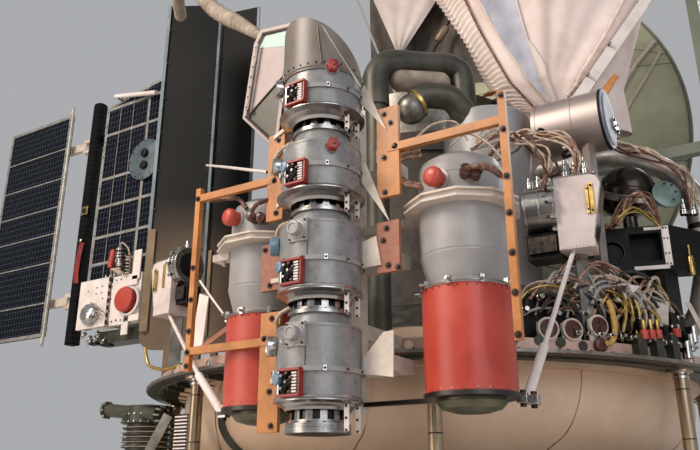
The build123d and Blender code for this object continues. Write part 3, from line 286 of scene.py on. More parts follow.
# Heat-darkened polished steel of the bulb
bulb_coat = finish("bulb_coat", "#2a2520 #3d3630 #554b42", 120, 8, 0.3, 0.9, 0.24)
# Black quilted wrap on the spars, matt, deeply creased
spar_wrap = finish("spar_wrap", "#050506 #0a0a0b #111113", 60, 20, 2.0, 0.0, 0.8, Specular_IOR_Level=0.15)
# Blue-grey painted edging of the shields
edge_strip = finish("edge_strip", "#4e585e #5d686e #6e787d", 120, 6, 0.2, 0.4, 0.45)
# Pale pinkish enamel of the hood, satin
hood_enamel = finish("hood_enamel", "#9a8780 #a5928b #af9c95", 120, 8, 0.2, 0.0, 0.5)
# Rolled alloy rim, warm grey, wiped clean
rim_coat = finish("rim_coat", "#a88a7d #c09f90 #d2b0a0", 80, 6, 0.2, 0.3, 0.45)

finish_of = (
    (cream_enamel, "ring_hull"), (rim_coat, "rim_ring"),
    (dull_aluminium, "tank_skirt tracker_stalks dish_mast tank_adapter upper_deck lid_ears"),
    (dark_blanket, "tank_body"),
    (bronze_sheet, "engine_block engine_nozzle front_shield rear_shield shield_feet"),
    (stand_paint, "stand_base"), (post_metal, "stand_posts"), (dark_olive, "finned_pot gas_bottles"),
    (drum_enamel, "drum_cases"), (turned_steel, "drum_skirts tracker_barrels"), (neck_coat, "drum_necks"),
    (pale_primer, "carrier_frame bottle_collars outer_arms_left outer_arms_right"),
    (bracket_coat, "drum_brackets"), (orange_enamel, "orange_frame"), (terracotta, "brown_plates"),
    (cowl_paint, "drum_cowl"), (hood_enamel, "side_hood"), (grey_enamel, "bottle_cases rear_canister"),
    (red_enamel, "bottle_sleeves"), (foot_coat, "bottle_feet"), (tracker_coat, "tracker_heads"),
    (white_enamel, "white_struts square_brace wing_instruments"), (dish_coat, "dish_bowl"),
    (bright_metal, "dish_feed"), (white_cloth, "fabric_cover"), (black_paint, "camera_box camera_pedestal"),
    (brushed_steel, "baffle_barrel"), (lid_coat, "baffle_lid"), (olive_metal, "arch_duct elbow_duct"),
    (pale_duct, "side_duct"), (tan_cloth, "duct_pod"), (bulb_coat, "bulb_tank"),
    (green_grey, "wing_root_left wing_root_right"), (spar_wrap, "wing_spar_left wing_spar_right"),
    (cell_glass, "inner_panel_left inner_panel_right outer_panel_left outer_panel_right"),
)
for coat, names in finish_of:
    for name in names.split():
        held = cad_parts[name].data.materials
        held.clear()
        held.append(coat)


def grid(points, closed=False):
    """Surface through an n by m array of points; closed joins the last column to the first."""
    rows, columns = points.shape[:2]
    index = np.arange(rows * columns).reshape(rows, columns)
    index = np.hstack([index, index[:, :1]]) if closed else index
    faces = np.stack([index[:-1, :-1], index[:-1, 1:], index[1:, 1:], index[1:, :-1]], axis=-1)
    return points.reshape(-1, 3), faces.reshape(-1, 4)


def turned(profile, steps=24, phase=0.0):
    """Surface of revolution: (r cos a, r sin a, z) for the radius r and height z of each profile point."""
    angle = (np.arange(steps) + phase) * 2 * np.pi / steps
    r, z = np.maximum(np.array(profile, float).T, [[0.05], [-np.inf]])
    points = np.stack([np.outer(r, np.cos(angle)), np.outer(r, np.sin(angle)),
                       np.repeat(z[:, None], steps, 1)], -1)
    return grid(points, closed=True)


def disc(radius, height, steps=16):
    """Short closed cylinder on the plane z = 0."""
    return turned([(0, 0), (radius, 0), (radius, height), (0, height)], steps)


def bead(inner, outer, z, half, steps):
    """Pointed ring round the axis, with its edge at the height z."""
    return turned([(inner, z - half), (outer, z), (inner, z + half)], steps)


def band(inner, outer, z, half, steps, bevel=1):
    """Flat ring round the axis with bevelled edges, its middle at the height z."""
    return turned([(inner, z - half), (outer, z - half + bevel), (outer, z + half - bevel),
                   (inner, z + half)], steps)


def peg(radius, low, high, steps, dome=0):
    """Rod along the axis with a shallow dome on its end."""
    return turned([(radius, low), (radius, high), (0, high + dome)], steps)


def block(width, depth, height):
    """Box around the origin."""
    signs = np.array([(x, y, z) for z in (-1, 1) for y in (-1, 1) for x in (-1, 1)], float)
    faces = [(0, 2, 3, 1), (4, 5, 7, 6), (0, 1, 5, 4), (2, 6, 7, 3), (0, 4, 6, 2), (1, 3, 7, 5)]
    return signs * (width / 2, depth / 2, height / 2), np.array(faces)


def slab(corners, depth):
    """Plate between four corners, seen anticlockwise, that goes back by the depth along its normal."""
    c = np.array(corners, float)
    normal = np.cross(c[1] - c[0], c[3] - c[0])
    faces = [(0, 1, 2, 3), (7, 6, 5, 4), (0, 4, 5, 1), (1, 5, 6, 2), (2, 6, 7, 3), (3, 7, 4, 0)]
    return np.vstack([c, c - normal * depth / np.linalg.norm(normal)]), np.array(faces)


def rotation(axis, spin=0.0):
    """Matrix that turns by the spin in degrees about Z, then turns Z to the axis, with Y kept upward."""
    a = radians(spin)
    twist = np.array([(np.cos(a), -np.sin(a), 0), (np.sin(a), np.cos(a), 0), (0, 0, 1)])
    return np.array(Vector(axis).to_track_quat("Z", "Y").to_matrix()) @ twist


def copies(shape, places, axes=None, spin=0.0):
    """The shape repeated at each place, with its Z turned to the axis there."""
    points, faces = shape
    places = np.array(places, float).reshape(-1, 3)
    axes = [(0, 0, 1)] * len(places) if axes is None else np.broadcast_to(np.array(axes, float), places.shape)
    turns = np.array([rotation(axis, spin) for axis in axes])
    moved = np.einsum("kij,nj->kni", turns, points) + places[:, None]
    starts = np.arange(len(places))[:, None, None] * len(points)
    return moved.reshape(-1, 3), (faces[None] + starts).reshape(-1, 4)


def spline(knots, steps=8):
    """Catmull-Rom curve: each span is (2b + (c-a)t + (2a-5b+4c-d)t^2 + (3b-a-3c+d)t^3) / 2."""
    k = np.array(knots, float)
    k = np.vstack([2 * k[0] - k[1], k, 2 * k[-1] - k[-2]])
    a, b, c, d = k[:-3, None], k[1:-2, None], k[2:-1, None], k[3:, None]
    t = np.linspace(0, 1, steps, endpoint=False)[None, :, None]
    points = (2 * b + (c - a) * t + (2 * a - 5 * b + 4 * c - d) * t**2 + (3 * b - a - 3 * c + d) * t**3) / 2
    return np.vstack([points.reshape(-1, k.shape[1]), k[-2]])


def carried(path, outline, swell=None):
    """Outline carried along a path. The frame at each point is the tangent's cross product with the direction
    that the tangents use least, and swell scales the outline point by point."""
    path = np.array(path, float)
    tangent = np.gradient(path, axis=0)
    tangent /= np.linalg.norm(tangent, axis=1)[:, None]
    least = np.linalg.svd(tangent)[2][-1]
    side = np.cross(tangent, least)
    side /= np.linalg.norm(side, axis=1)[:, None]
    up = np.cross(side, tangent)
    swell = np.ones(len(path)) if swell is None else swell
    outline = np.array(outline, float)
    across = side[:, None] * outline[None, :, :1] + up[:, None] * outline[None, :, 1:]
    return grid(path[:, None] + across * swell[:, None, None], closed=True)


def circle(sides):
    """Points (cos a, sin a) all round."""
    angle = np.arange(sides) * 2 * np.pi / sides
    return np.stack([np.cos(angle), np.sin(angle)], -1)


def flat_bar(wide, deep):
    """Outline of a bar of that half width and half depth."""
    return [(-wide, -deep), (wide, -deep), (wide, deep), (-wide, deep)]


def tube(knots, radius, sides=8, steps=8, ribs=0.0, pitch=1):
    """Round cable or hose through the knots, its radius swelling by the share ribs every pitch samples."""
    path = spline(knots, steps)
    swell = 1 + ribs * np.cos(np.arange(len(path)) * 2 * np.pi / pitch)
    return carried(path, radius * circle(sides), swell)


def joined(shapes):
    """Several shapes as one."""
    counts = np.cumsum([0] + [len(points) for points, faces in shapes[:-1]])
    return (np.vstack([points for points, faces in shapes]),
            np.vstack([faces + start for (points, faces), start in zip(shapes, counts)]))


def piece(name, parts, body="bus", bevel=0.0, crease=40):
    """Object in millimetres that moves with a CAD body. A part is (coat, shape), or for copies of the shape
    (coat, shape, places, axes, spin)."""
    used = list({part[0].name: part[0] for part in parts}.values())
    shapes = [copies(*part[1:]) if part[2:] else part[1] for part in parts]
    ids = np.concatenate([np.full(len(shape[1]), used.index(part[0])) for part, shape in zip(parts, shapes)])
    points, faces = joined(shapes)
    mesh = bpy.data.meshes.new(name)
    mesh.vertices.add(len(points))
    mesh.vertices.foreach_set("co", (points / 1000).astype(np.float32).ravel())
    mesh.loops.add(4 * len(faces))
    mesh.loops.foreach_set("vertex_index", faces.astype(np.int32).ravel())
    mesh.polygons.add(len(faces))
    mesh.polygons.foreach_set("loop_start", np.arange(0, 4 * len(faces), 4, dtype=np.int32))
    mesh.polygons.foreach_set("material_index", ids.astype(np.int32))
    for coat in used:
        mesh.materials.append(coat)
    mesh.update(calc_edges=True)
    mesh.validate()
    mesh.shade_smooth()
    mesh.set_sharp_from_angle(angle=radians(crease))
    obj = bpy.data.objects.new(name, mesh)
    bpy.context.scene.collection.objects.link(obj)
    if bevel:
        edge = obj.modifiers.new("edge", "BEVEL")
        edge.width = bevel / 1000
        edge.segments = 2
        edge.limit_method = "ANGLE"
    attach(obj, body)
    return obj


def level_axes(degrees):
    """Level axes at an angle a from the front: right (cos a, sin a, 0), ahead (sin a, -cos a, 0)."""
    a = radians(degrees)
    return np.array((np.cos(a), np.sin(a), 0)), np.array((np.sin(a), -np.cos(a), 0))


def on_cylinder(axis, radius, angles, heights):
    """Places on an upright cylinder and the directions outwards; angles are from -Y towards +X."""
    a = np.radians(np.broadcast_to(angles, np.broadcast(angles, heights).shape))
    outward = np.stack([np.sin(a), -np.cos(a), 0 * a], -1).reshape(-1, 3)
    middle = np.stack([axis[0] + 0 * a, axis[1] + 0 * a, heights + 0 * a], -1).reshape(-1, 3)
    return outward * radius + middle, outward


def drum_details():
    """Screws, caps, connectors, knobs and ports on the four drums."""
    bolt = turned([(0, 0), (3.6, 0), (3.6, 3), (2, 4), (0, 4)], 6)
    parts = []
    for top, bottom, band_z, neck_low, foot_high in (
            (1340, 1192, 1255, 1131, 10),
            (1084, 934, 1004, 878, 10),
            (839, 645, 726, 583, 10),
            (547, 351, 427, 269, 25)):
        places, outward = on_cylinder(drum_axis, drum_radius + 5.5, np.arange(12) * 30 + 11, band_z)
        parts += [
            (bright_metal, block(14, 9, 5), places, outward, 90),
            (dark_steel, bolt, places + outward * 2, outward)]
        places, outward = on_cylinder(drum_axis, drum_radius - 9, np.arange(20) * 18, bottom - 3)
        parts.append((bright_metal, bolt, places, (0, 0, -1)))
        places, outward = on_cylinder(drum_axis, drum_radius - 36, np.arange(12) * 30 + 15,
                                      neck_low + foot_high)
        parts += [
            (dark_steel, bolt, places),
            (bright_metal, bead(drum_radius + 0.4, drum_radius + 1.6, top - 8, 1, 48), (*drum_axis, 0)),
            (bright_metal, bead(drum_radius + 0.4, drum_radius + 2.4, bottom + 7, 3, 48), (*drum_axis, 0))]
        if top < 900:
            places, outward = on_cylinder(drum_axis, drum_radius + 0.5, 16, (top + band_z) / 2)
            parts.append((dark_steel, block(top - band_z - 16, 1.6, 1), places, outward, 90))
    piece("drum_screws", parts)

    parts = []
    for angle, z in ((47, 1316), (48, 1060)):
        place, out = on_cylinder(drum_axis, drum_radius - 1, angle, z)
        cap = turned([(0, 4), (21, 4), (21, 20), (17, 25), (6, 26), (6, 31), (0, 32)], 6)
        parts += [(drum_enamel, disc(23, 5, 20), place, out), (red_cap, cap, place, out)]
    piece("drum_caps", parts, bevel=0.8)

    # Connector panels: red frame, black recess, ridged white strips and small round plugs
    parts = []
    for angle, z in ((-4, 1234), (-1, 979), (-3, 688), (-2, 391)):
        place, out = on_cylinder(drum_axis, drum_radius, angle, z)
        turn = rotation(out[0])
        def at(x, y, lift):
            return place + (turn @ (x, y, lift))
        parts.append((black_paint, block(64, 70, 14), at(0, 0, 3), out))
        for y in (33, -33):
            parts.append((red_cap, block(70, 7, 22), at(0, y, 9), out))
        rows = [at(17, y, 11)[0] for y in range(-24, 28, 8)]
        plugs = [at(x, y, 8)[0] for x, y in ((-14, 16), (-14, -16), (0, 0))]
        parts += [
            (red_cap, block(5, 60, 18), at(33, 0, 8), out),
            (bright_metal, block(5, 60, 18), at(-33, 0, 8), out),
            (white_enamel, block(16, 5, 10), rows, out),
            (dark_steel, turned([(9, 0), (9, 12), (6, 14), (6, 20), (0, 20)], 12), plugs, out),
            (bright_metal, peg(4, 0, 24, 8, 1), plugs, out)]
        rows = [at(x, y, 16)[0] for x, y in ((-6, 24), (4, -24), (8, 12))]
        parts.append((bakelite, block(9, 7, 9), rows, out))
    piece("drum_connectors", parts, bevel=0.7)

    # Blue-grey knobs by the panels and silver dishes on the left side
    parts = []
    knob = turned([(0, 0), (10, 0), (8, 10), (15, 12), (17, 18), (15, 26), (8, 29), (0, 29)], 18)
    for angle, z in ((-17, 1003), (-20, 706), (-18, 402)):
        place, out = on_cylinder(drum_axis, drum_radius, angle, z)
        parts += [(blue_knob, knob, place, out), (copper_braid, disc(15, 6), place, out)]
    dish = turned([(20, 0), (20, 8), (26, 10), (28, 14), (28, 34), (24, 37), (20, 31), (8, 30), (0, 33)], 24)
    for angle, z, coat in (
            (-52, 1298, bright_metal),
            (-58, 1042, bright_metal),
            (-57, 792, blue_knob),
            (-50, 500, bright_metal)):
        place, out = on_cylinder(drum_axis, drum_radius - 10, angle, z)
        parts.append((coat, dish, place, out))
    piece("drum_knobs", parts)

    # White square flanges with a round port
    parts = []
    port = turned([(27, 0), (27, 5), (21, 6), (21, 24), (19, 28), (13, 29), (12, 26), (0, 26)], 28)
    for z in (808, 518):
        place, out = on_cylinder(drum_axis, drum_radius - 2, 2, z)
        turn = rotation(out[0])
        corners = [(turn @ (x, y, 8)) + place[0] for x in (-24, 24) for y in (-26, 26)]
        parts += [
            (grey_enamel, block(60, 66, 14), place, out),
            (grey_enamel, port, place + 5 * out, out),
            (dark_steel, bolt, corners, out)]
    piece("drum_ports", parts, bevel=1.2)

    # Upright angle bars beside each neck
    parts = []
    for low, high in ((1131, 1172), (878, 918), (585, 630), (275, 335)):
        middle = (low + high) / 2
        for x, y in ((108, -30), (100, 40)):
            place = (drum_axis[0] + x, drum_axis[1] + y, middle)
            screws = [(place[0], place[1] - 1.5, z) for z in np.linspace(low, high, 3)]
            parts += [
                (white_enamel, block(14, 3, high - low + 6), place),
                (white_enamel, block(3, 12, high - low + 6), [(place[0] - 6, place[1] + 6, middle)]),
                (dark_steel, bolt, screws, (0, -1, 0))]
    piece("neck_bars", parts)


def frame_details():
    """Screws with washers on the orange and terracotta plates."""
    screw = turned([(0, 0), (7, 0), (7, 3), (5, 5), (5, 9), (0, 9)], 6)
    washer = disc(10, 2, 14)
    struts = [(1001, z) for z in (1141, 1039, 903, 801, 694, 590, 485)]
    struts += [(-80, z) for z in (1060, 818, 711, 608, 541, 498)]
    plates = [(639, 1183), (673, 1071), (637, 1043), (638, 934), (660, 1150), (250, 1197), (239, 1059),
              (250, 946), (248, 1120), (248, 612), (222, 554), (248, 398), (257, 302), (641, 824), (630, 790),
              (645, 716), (676, 706), (214, 830), (236, 715)]
    places = [(x, strut_front, z) for x, z in struts] + [(x, plate_front, z) for x, z in plates]
    piece("frame_screws", [(dark_steel, screw, places, (0, -1, 0)), (bakelite, washer, places, (0, -1, 0))],
          bevel=0.5)


def bottle_details():
    """Caps, plugs, flange clamps, hoops, screws and braids of the two bottles."""
    rivet = turned([(0, 0), (2.4, 0), (1.6, 1.6), (0, 1.8)], 6)
    clamp = joined([block(22, 12, 12), copies(peg(5, 0, 16, 8, 1), (0, 0, 4))])
    cap = turned([(24, 0), (24, 22), (27, 26), (29, 34), (28, 46), (22, 53), (12, 56), (0, 57)], 28)
    plug = turned([(15, 0), (15, 24), (12, 26), (12, 38), (17, 40), (17, 52), (9, 56), (0, 56)], 14)
    parts = []
    for (x, y), cap_angle, cap_z, plug_angle in (
            (bottle_axes[0], -6, 944, 28),
            (bottle_axes[1], -18, 966, 16)):
        place, out = on_cylinder((x, y), bottle_radius - 6, cap_angle, cap_z)
        parts += [
            (red_enamel, cap, place, out),
            (grey_enamel, turned([(32, 0), (32, 8), (24, 9)], 28), place, out)]
        place, out = on_cylinder((x, y), bottle_radius - 12, plug_angle, 950)
        places, outward = on_cylinder((x, y), bottle_radius + 2, np.arange(9) * 40 - 38, 655)
        parts += [
            (bakelite, plug, place, out),
            (bakelite, plug, place + (26, 14, -4), out),
            (bright_metal, clamp, places, outward, 90)]
        for coat, count, z in ((dark_steel, 30, 640), (bright_metal, 24, 374)):
            places, outward = on_cylinder((x, y), bottle_radius - 0.2, np.arange(count) * 360 / count, z)
            parts.append((coat, rivet, places, outward))
        hoops = joined([bead(bottle_radius - 0.1, bottle_radius + 1.6, z, 2, 48) for z in (745, 862, 968)])
        parts += [
            (grey_enamel, hoops, (x, y, 0)),
            (dull_aluminium, band(128.2, 130, 652, 3, 48), (x, y, 0))]
        places, outward = on_cylinder((x, y), bottle_radius + 26, np.arange(10) * 36 + 18, 900)
        seam, outward = on_cylinder((x, y), bottle_radius, 112, 508)
        parts += [(dark_steel, disc(5, 4, 8), places), (black_paint, block(270, 3, 1.5), seam, outward, 90)]
    piece("bottle_trim", parts)

    # Lug clamps at the bottles' feet and the white block under the left collar
    lug = [(920, -1357, 362), (944, -1340, 358), (-36, -1452, 362)]
    piece("bottle_clamps", [
        (bright_metal, block(30, 26, 26), lug),
        (dark_steel, peg(9, -22, 22, 12), lug),
        (white_enamel, block(70, 40, 24), (-30, -1500, 866)),
        (bright_metal, disc(8, 14), (-30, -1500, 840))
    ], bevel=1.5)

    # Braids: a loop from the orange plate to the bottle's head, plug leads and thin wires to the plates
    loops = [[(732, -1545, 1060), (690, -1570, 1052), (652, -1580, 1022), (655, -1580, 985),
              (690, -1575, 955), (740, -1545, 940)],
             [(728, -1530, 1052), (680, -1560, 1040), (662, -1575, 1012), (668, -1570, 978),
              (700, -1560, 962), (745, -1530, 950)]]
    leads = [[(868, -1572, 946), (905, -1600, 948), (950, -1595, 936), (990, -1570, 905)],
             [(890, -1560, 948), (930, -1590, 952), (968, -1585, 930), (996, -1560, 896)],
             [(147, -1590, 965), (190, -1606, 985), (235, -1565, 1010)],
             [(120, -1575, 990), (70, -1560, 1040), (10, -1540, 1060), (-60, -1560, 1060)]]
    wires = [[(740, -1350, 1150), (790, -1330, 1190), (850, -1320, 1150), (900, -1310, 1080)],
             [(700, -1500, 1130), (740, -1470, 1175), (800, -1440, 1180), (830, -1420, 1120)]]
    piece("bottle_braids", [
        (copper_braid, joined([tube(k, 6, 8, 8, 0.14, 3) for k in loops])),
        (brown_braid, joined([tube(k, 7, 8, 8, 0.14, 3) for k in leads])),
        (pale_braid, joined([tube(k, 4, 6) for k in wires]))
    ])


def tracker_details():
    """Rim strips, brass plates, teeth, hoops, lugs and boxes of the star trackers."""
    parts = []
    for x, y, side in tracker_centres:
        right, front = level_axes(tracker_turn * side)
        centre = np.array((x, y, 0))
        def at(across, forward, z):
            return centre + side * across * right + forward * front + (0, 0, z)
        edge = [at(41, 0, 944), at(78, 0, 1132), at(79, 0, 1150), at(69, 0, 1170),
                at(50, 0, 1181), at(-76, 0, 1182)]
        screws = [at(45, 60, z) for z in (1042, 1134)] + [at(32, 62, z) for z in (1046, 1122)]
        teeth = [at(across, 57, 919) for across in np.arange(-74, 38, 8)]
        parts += [
            (bright_metal, carried(spline(edge, 3), [(-2, -57.5), (-2, 57.5), (2, 57.5), (2, -57.5)])),
            (brass, block(15, 6, 112), at(45, 56, 1088)),
            (brass, block(9, 14, 104), at(32, 57, 1084)),
            (dark_steel, disc(4, 3, 8), screws, front),
            (white_enamel, block(5, 6, 12), teeth)]
        if side < 0:
            parts.append((brass, block(16, 6, 116), [at(-22, 56, 1100)]))
    piece("tracker_trim", parts, bevel=0.6)

    parts = []
    for x, y, side, z, length in ((*tracker_centres[0], 1085, 112), (*tracker_centres[1], 1143, 62)):
        axis = -side * level_axes(tracker_turn * side)[0]
        start = np.array((x, y, z)) + 79 * axis
        hoops = joined([band(85.2, 88, h, 3, 40) for h in (6, length / 2, length - 6)])
        turn = rotation(axis)
        lugs = [(turn @ (90 * np.cos(a), 90 * np.sin(a), 9)) + start for a in np.radians(np.arange(10) * 36)]
        low = start + (length * 0.5) * axis
        spots = [(dx, dy) for dx in (-34, 0, 30) for dy in (-20, 18)] if length > 100 else [(0, 0)]
        tops = [low + (dx, dy, 84) for dx, dy in spots]
        parts += [
            (bright_metal, hoops, start, axis),
            (bright_metal, block(14, 14, 20), lugs, axis),
            (dark_steel, peg(4, 0, 16, 8, 1), np.array(lugs) + 6 * axis, axis),
            (black_paint, turned([(60, 0), (60, 4), (20, 8), (0, 8)], 32), [start + length * axis], axis),
            (black_paint, block(length + 10, 90, 96), [low + (0, 30, -136)]),
            (dark_steel, block(length - 10, 20, 60), [low + (0, -20, -136)]),
            (bright_metal, turned([(11, 0), (11, 26), (8, 28), (8, 42), (0, 44)], 12), tops)]
    piece("tracker_fittings", parts, bevel=0.8)


def camera_details():
    """White frame round the camera's window, gilt capsule, red cap and pale plates below."""
    u, n = level_axes(camera_box_turn)
    corner = np.array((1209, -383, 0))
    def at(along, out, z):
        return corner + along * u + out * n + (0, 0, z)
    screws = [at(x, 6, z) for x in (-8, -20) for z in (940, 980, 1040, 1082)]
    piece("camera_frame", [
        (white_enamel, block(26, 158, 6), at(-13, 3, 1012), n),
        (white_enamel, block(126, 15, 6), at(-76, 3, 929), n),
        (white_enamel, block(84, 12, 6), at(-46, 3, 1084), n),
        (dark_steel, turned([(43, 0), (46, 0), (46, 3), (43, 3)], 36), at(-211, 1, 999), n),
        (black_paint, peg(39, -40, -12, 30, 2), at(-211, 1, 999), n),
        (dark_steel, disc(3.5, 3, 8), screws, n)
    ], bevel=1.0)

    capsule = turned([(0, -44), (8, -42), (12, -36), (12, 28), (8, 36), (4, 38), (4, 78), (0, 80)], 18)
    red = turned([(22, 0), (22, 10), (18, 18), (0, 22)], 20)
    piece("camera_fittings", [
        (brass, capsule, (1262, -312, 946)),
        (dark_steel, block(34, 30, 8), (1262, -306, 946)),
        (red_cap, red, (930, -560, 905), (0.2, -0.9, -0.3)),
        (red_cap, block(16, 3, 38), (934, -622, 830)),
        (white_enamel, slab([(799, -600, 872), (992, -600, 867), (985, -600, 940), (850, -600, 932)], 6)),
        (white_enamel, slab([(992, -600, 867), (1030, -440, 880), (1025, -440, 935), (985, -600, 940)], 6)),
        (black_paint, slab([(795, -560, 872), (846, -560, 932), (850, -600, 932), (799, -600, 872)], 4))
    ], bevel=1.0)


def wing_details():
    """Strips between the fields of cells, ribbed backs, spar fittings, plate and raised corners."""
    for side, name in ((-1, "left"), (1, "right")):
        bottom = 1154
        for body, low, high, top, columns, rows in (
                ("outer", 2955, 3670, 2870, (), (2594, 2349, 2124, 1914, 1694, 1394)),
                ("inner", 1566, 2545, 2805, (1730, 1860, 1990, 2271, 2402),
                 (2584, 2234, 2019, 1794, 1599, 1394))):
            middle, width, height = side * (low + high) / 2, high - low, top - bottom
            bars = [(middle, wing_face, z) for z in rows]
            parts = [(cell_frame, block(width, 5, 20 if columns else 9), bars)]
            if columns:
                lines = [(side * x, wing_face, (top + bottom) / 2) for x in columns]
                parts.append((cell_frame, block(5, 4, height), lines))
            wide = (2114,) if body == "inner" else ()
            edges = [(side * x, wing_face, (top + bottom) / 2) for x in (low + 11, high - 11, *wide)]
            parts.append((cell_frame, block(23, 6, height), edges))
            edges = [(middle, wing_face, z) for z in (top - 11, bottom + 11)]
            screws = [(side * x, -18, z) for x in (low + 11, high - 11)
                      for z in np.arange(bottom + 60, top, 120)]
            backs = [(middle, 24, z) for z in np.linspace(bottom + 60, top - 60, 7)]
            parts += [
                (cell_frame, block(width, 6.4, 23), edges),
                (dark_steel, disc(4, 3, 8), screws, (0, -1, 0)),
                (dull_aluminium, block(width - 8, 3, height - 8), (middle, 14.6, (top + bottom) / 2)),
                (cell_frame, block(width - 30, 18, 22), backs)]
            piece(f"{body}_wing_strips_{name}", parts, f"{body}_wing_{name}")

        # Wrap, gilt plate, red strap and brass bushes of the spar
        wrap = [(r, z) for z in range(1070, 2850, 36) for r in (47, 50, 48.5)]
        wrap += [(44, 2860), (47, 2872), (30, 2884), (0, 2886)]
        strap = [(2612, -52, 1770), (2622, -58, 1650), (2626, -56, 1540), (2622, -50, 1480)]
        piece(f"spar_fittings_{name}", [
            (spar_wrap, turned(wrap, 14), (side * spar_x, 0, 0)),
            (brass, block(52, 10, 62), (side * (spar_x - 22), -50, 2010)),
            (dark_steel, block(26, 8, 32), (side * (spar_x - 22), -56, 2010)),
            (bright_metal, turned([(13, 0), (13, 6), (8, 9), (0, 9)], 16),
             (side * (spar_x - 20), -50, 1790), (0, -1, 0)),
            (red_cap, carried(spline(np.array(strap) * (side, 1, 1)), flat_bar(15, 3))),
            (brass, disc(16, 90, 14), [(side * (spar_x + 56), 6, z - 45) for z in (2410, 1560)])
        ], f"inner_wing_{name}")

    # Round pale cover plate with two knobs, and the white bar across the top of the left wing
    plate, knob = (-2090, -26, 2290), turned([(30, 0), (30, 16), (24, 22), (12, 24), (0, 24)], 20)
    angles = np.radians(np.arange(12) * 30)
    bar = (0.978, 0, -0.208)
    piece("wing_plate", [
        (edge_strip, turned([(0, 0), (150, 0), (150, 8), (144, 11), (0, 12)], 40), plate, (0, -1, 0)),
        (black_paint, knob, [(-2082, -38, 2331), (-2080, -38, 2240)], (0, -1, 0)),
        (dark_steel, disc(5, 3, 8), [(-2090 + 136 * np.cos(a), -37, 2290 + 136 * np.sin(a)) for a in angles],
         (0, -1, 0)),
        (white_enamel, peg(17, -212, 212, 14, 1), (-2228, -50, 2823), bar),
        (dark_steel, block(14, 40, 26), [(-2400, -34, 2850), (-2060, -34, 2790)])
    ], "inner_wing_left")

    # Raised corner over the inner fields, with its own rim
    for side, name in ((-1, "left"), (1, "right")):
        low = [(side * 2545, -13, 2803), (side * 1700, -13, 2803)]
        high = [(side * 1700, -13, 2945), (side * 2545, -13, 2806)]
        corners = np.array(low + high if side < 0 else (low + high)[::-1], float)
        edge = [np.array(c) + (0, -2, 0) for c in (high[1], high[0])]
        piece("wing_corner_" + name, [
            (cell_glass, slab(corners, 24)),
            (cell_frame, carried([edge[0], (edge[0] + edge[1]) / 2, edge[1]], flat_bar(10, 5))),
            (cell_frame, block(5, 4, 90),
             [(side * x, -15, z) for x, z in ((2271, 2816), (2140, 2838), (2000, 2850))])
        ], "inner_wing_" + name)
    corners = ((-2960, 2882), (-2946, 2874), (-2944, 2000), (-2946, 1156), (-2960, 1146))
    edge = tube([(x, wing_face, z) for x, z in corners], 11)
    piece("wing_side_frame", [(cell_frame, edge)], "outer_wing_left")


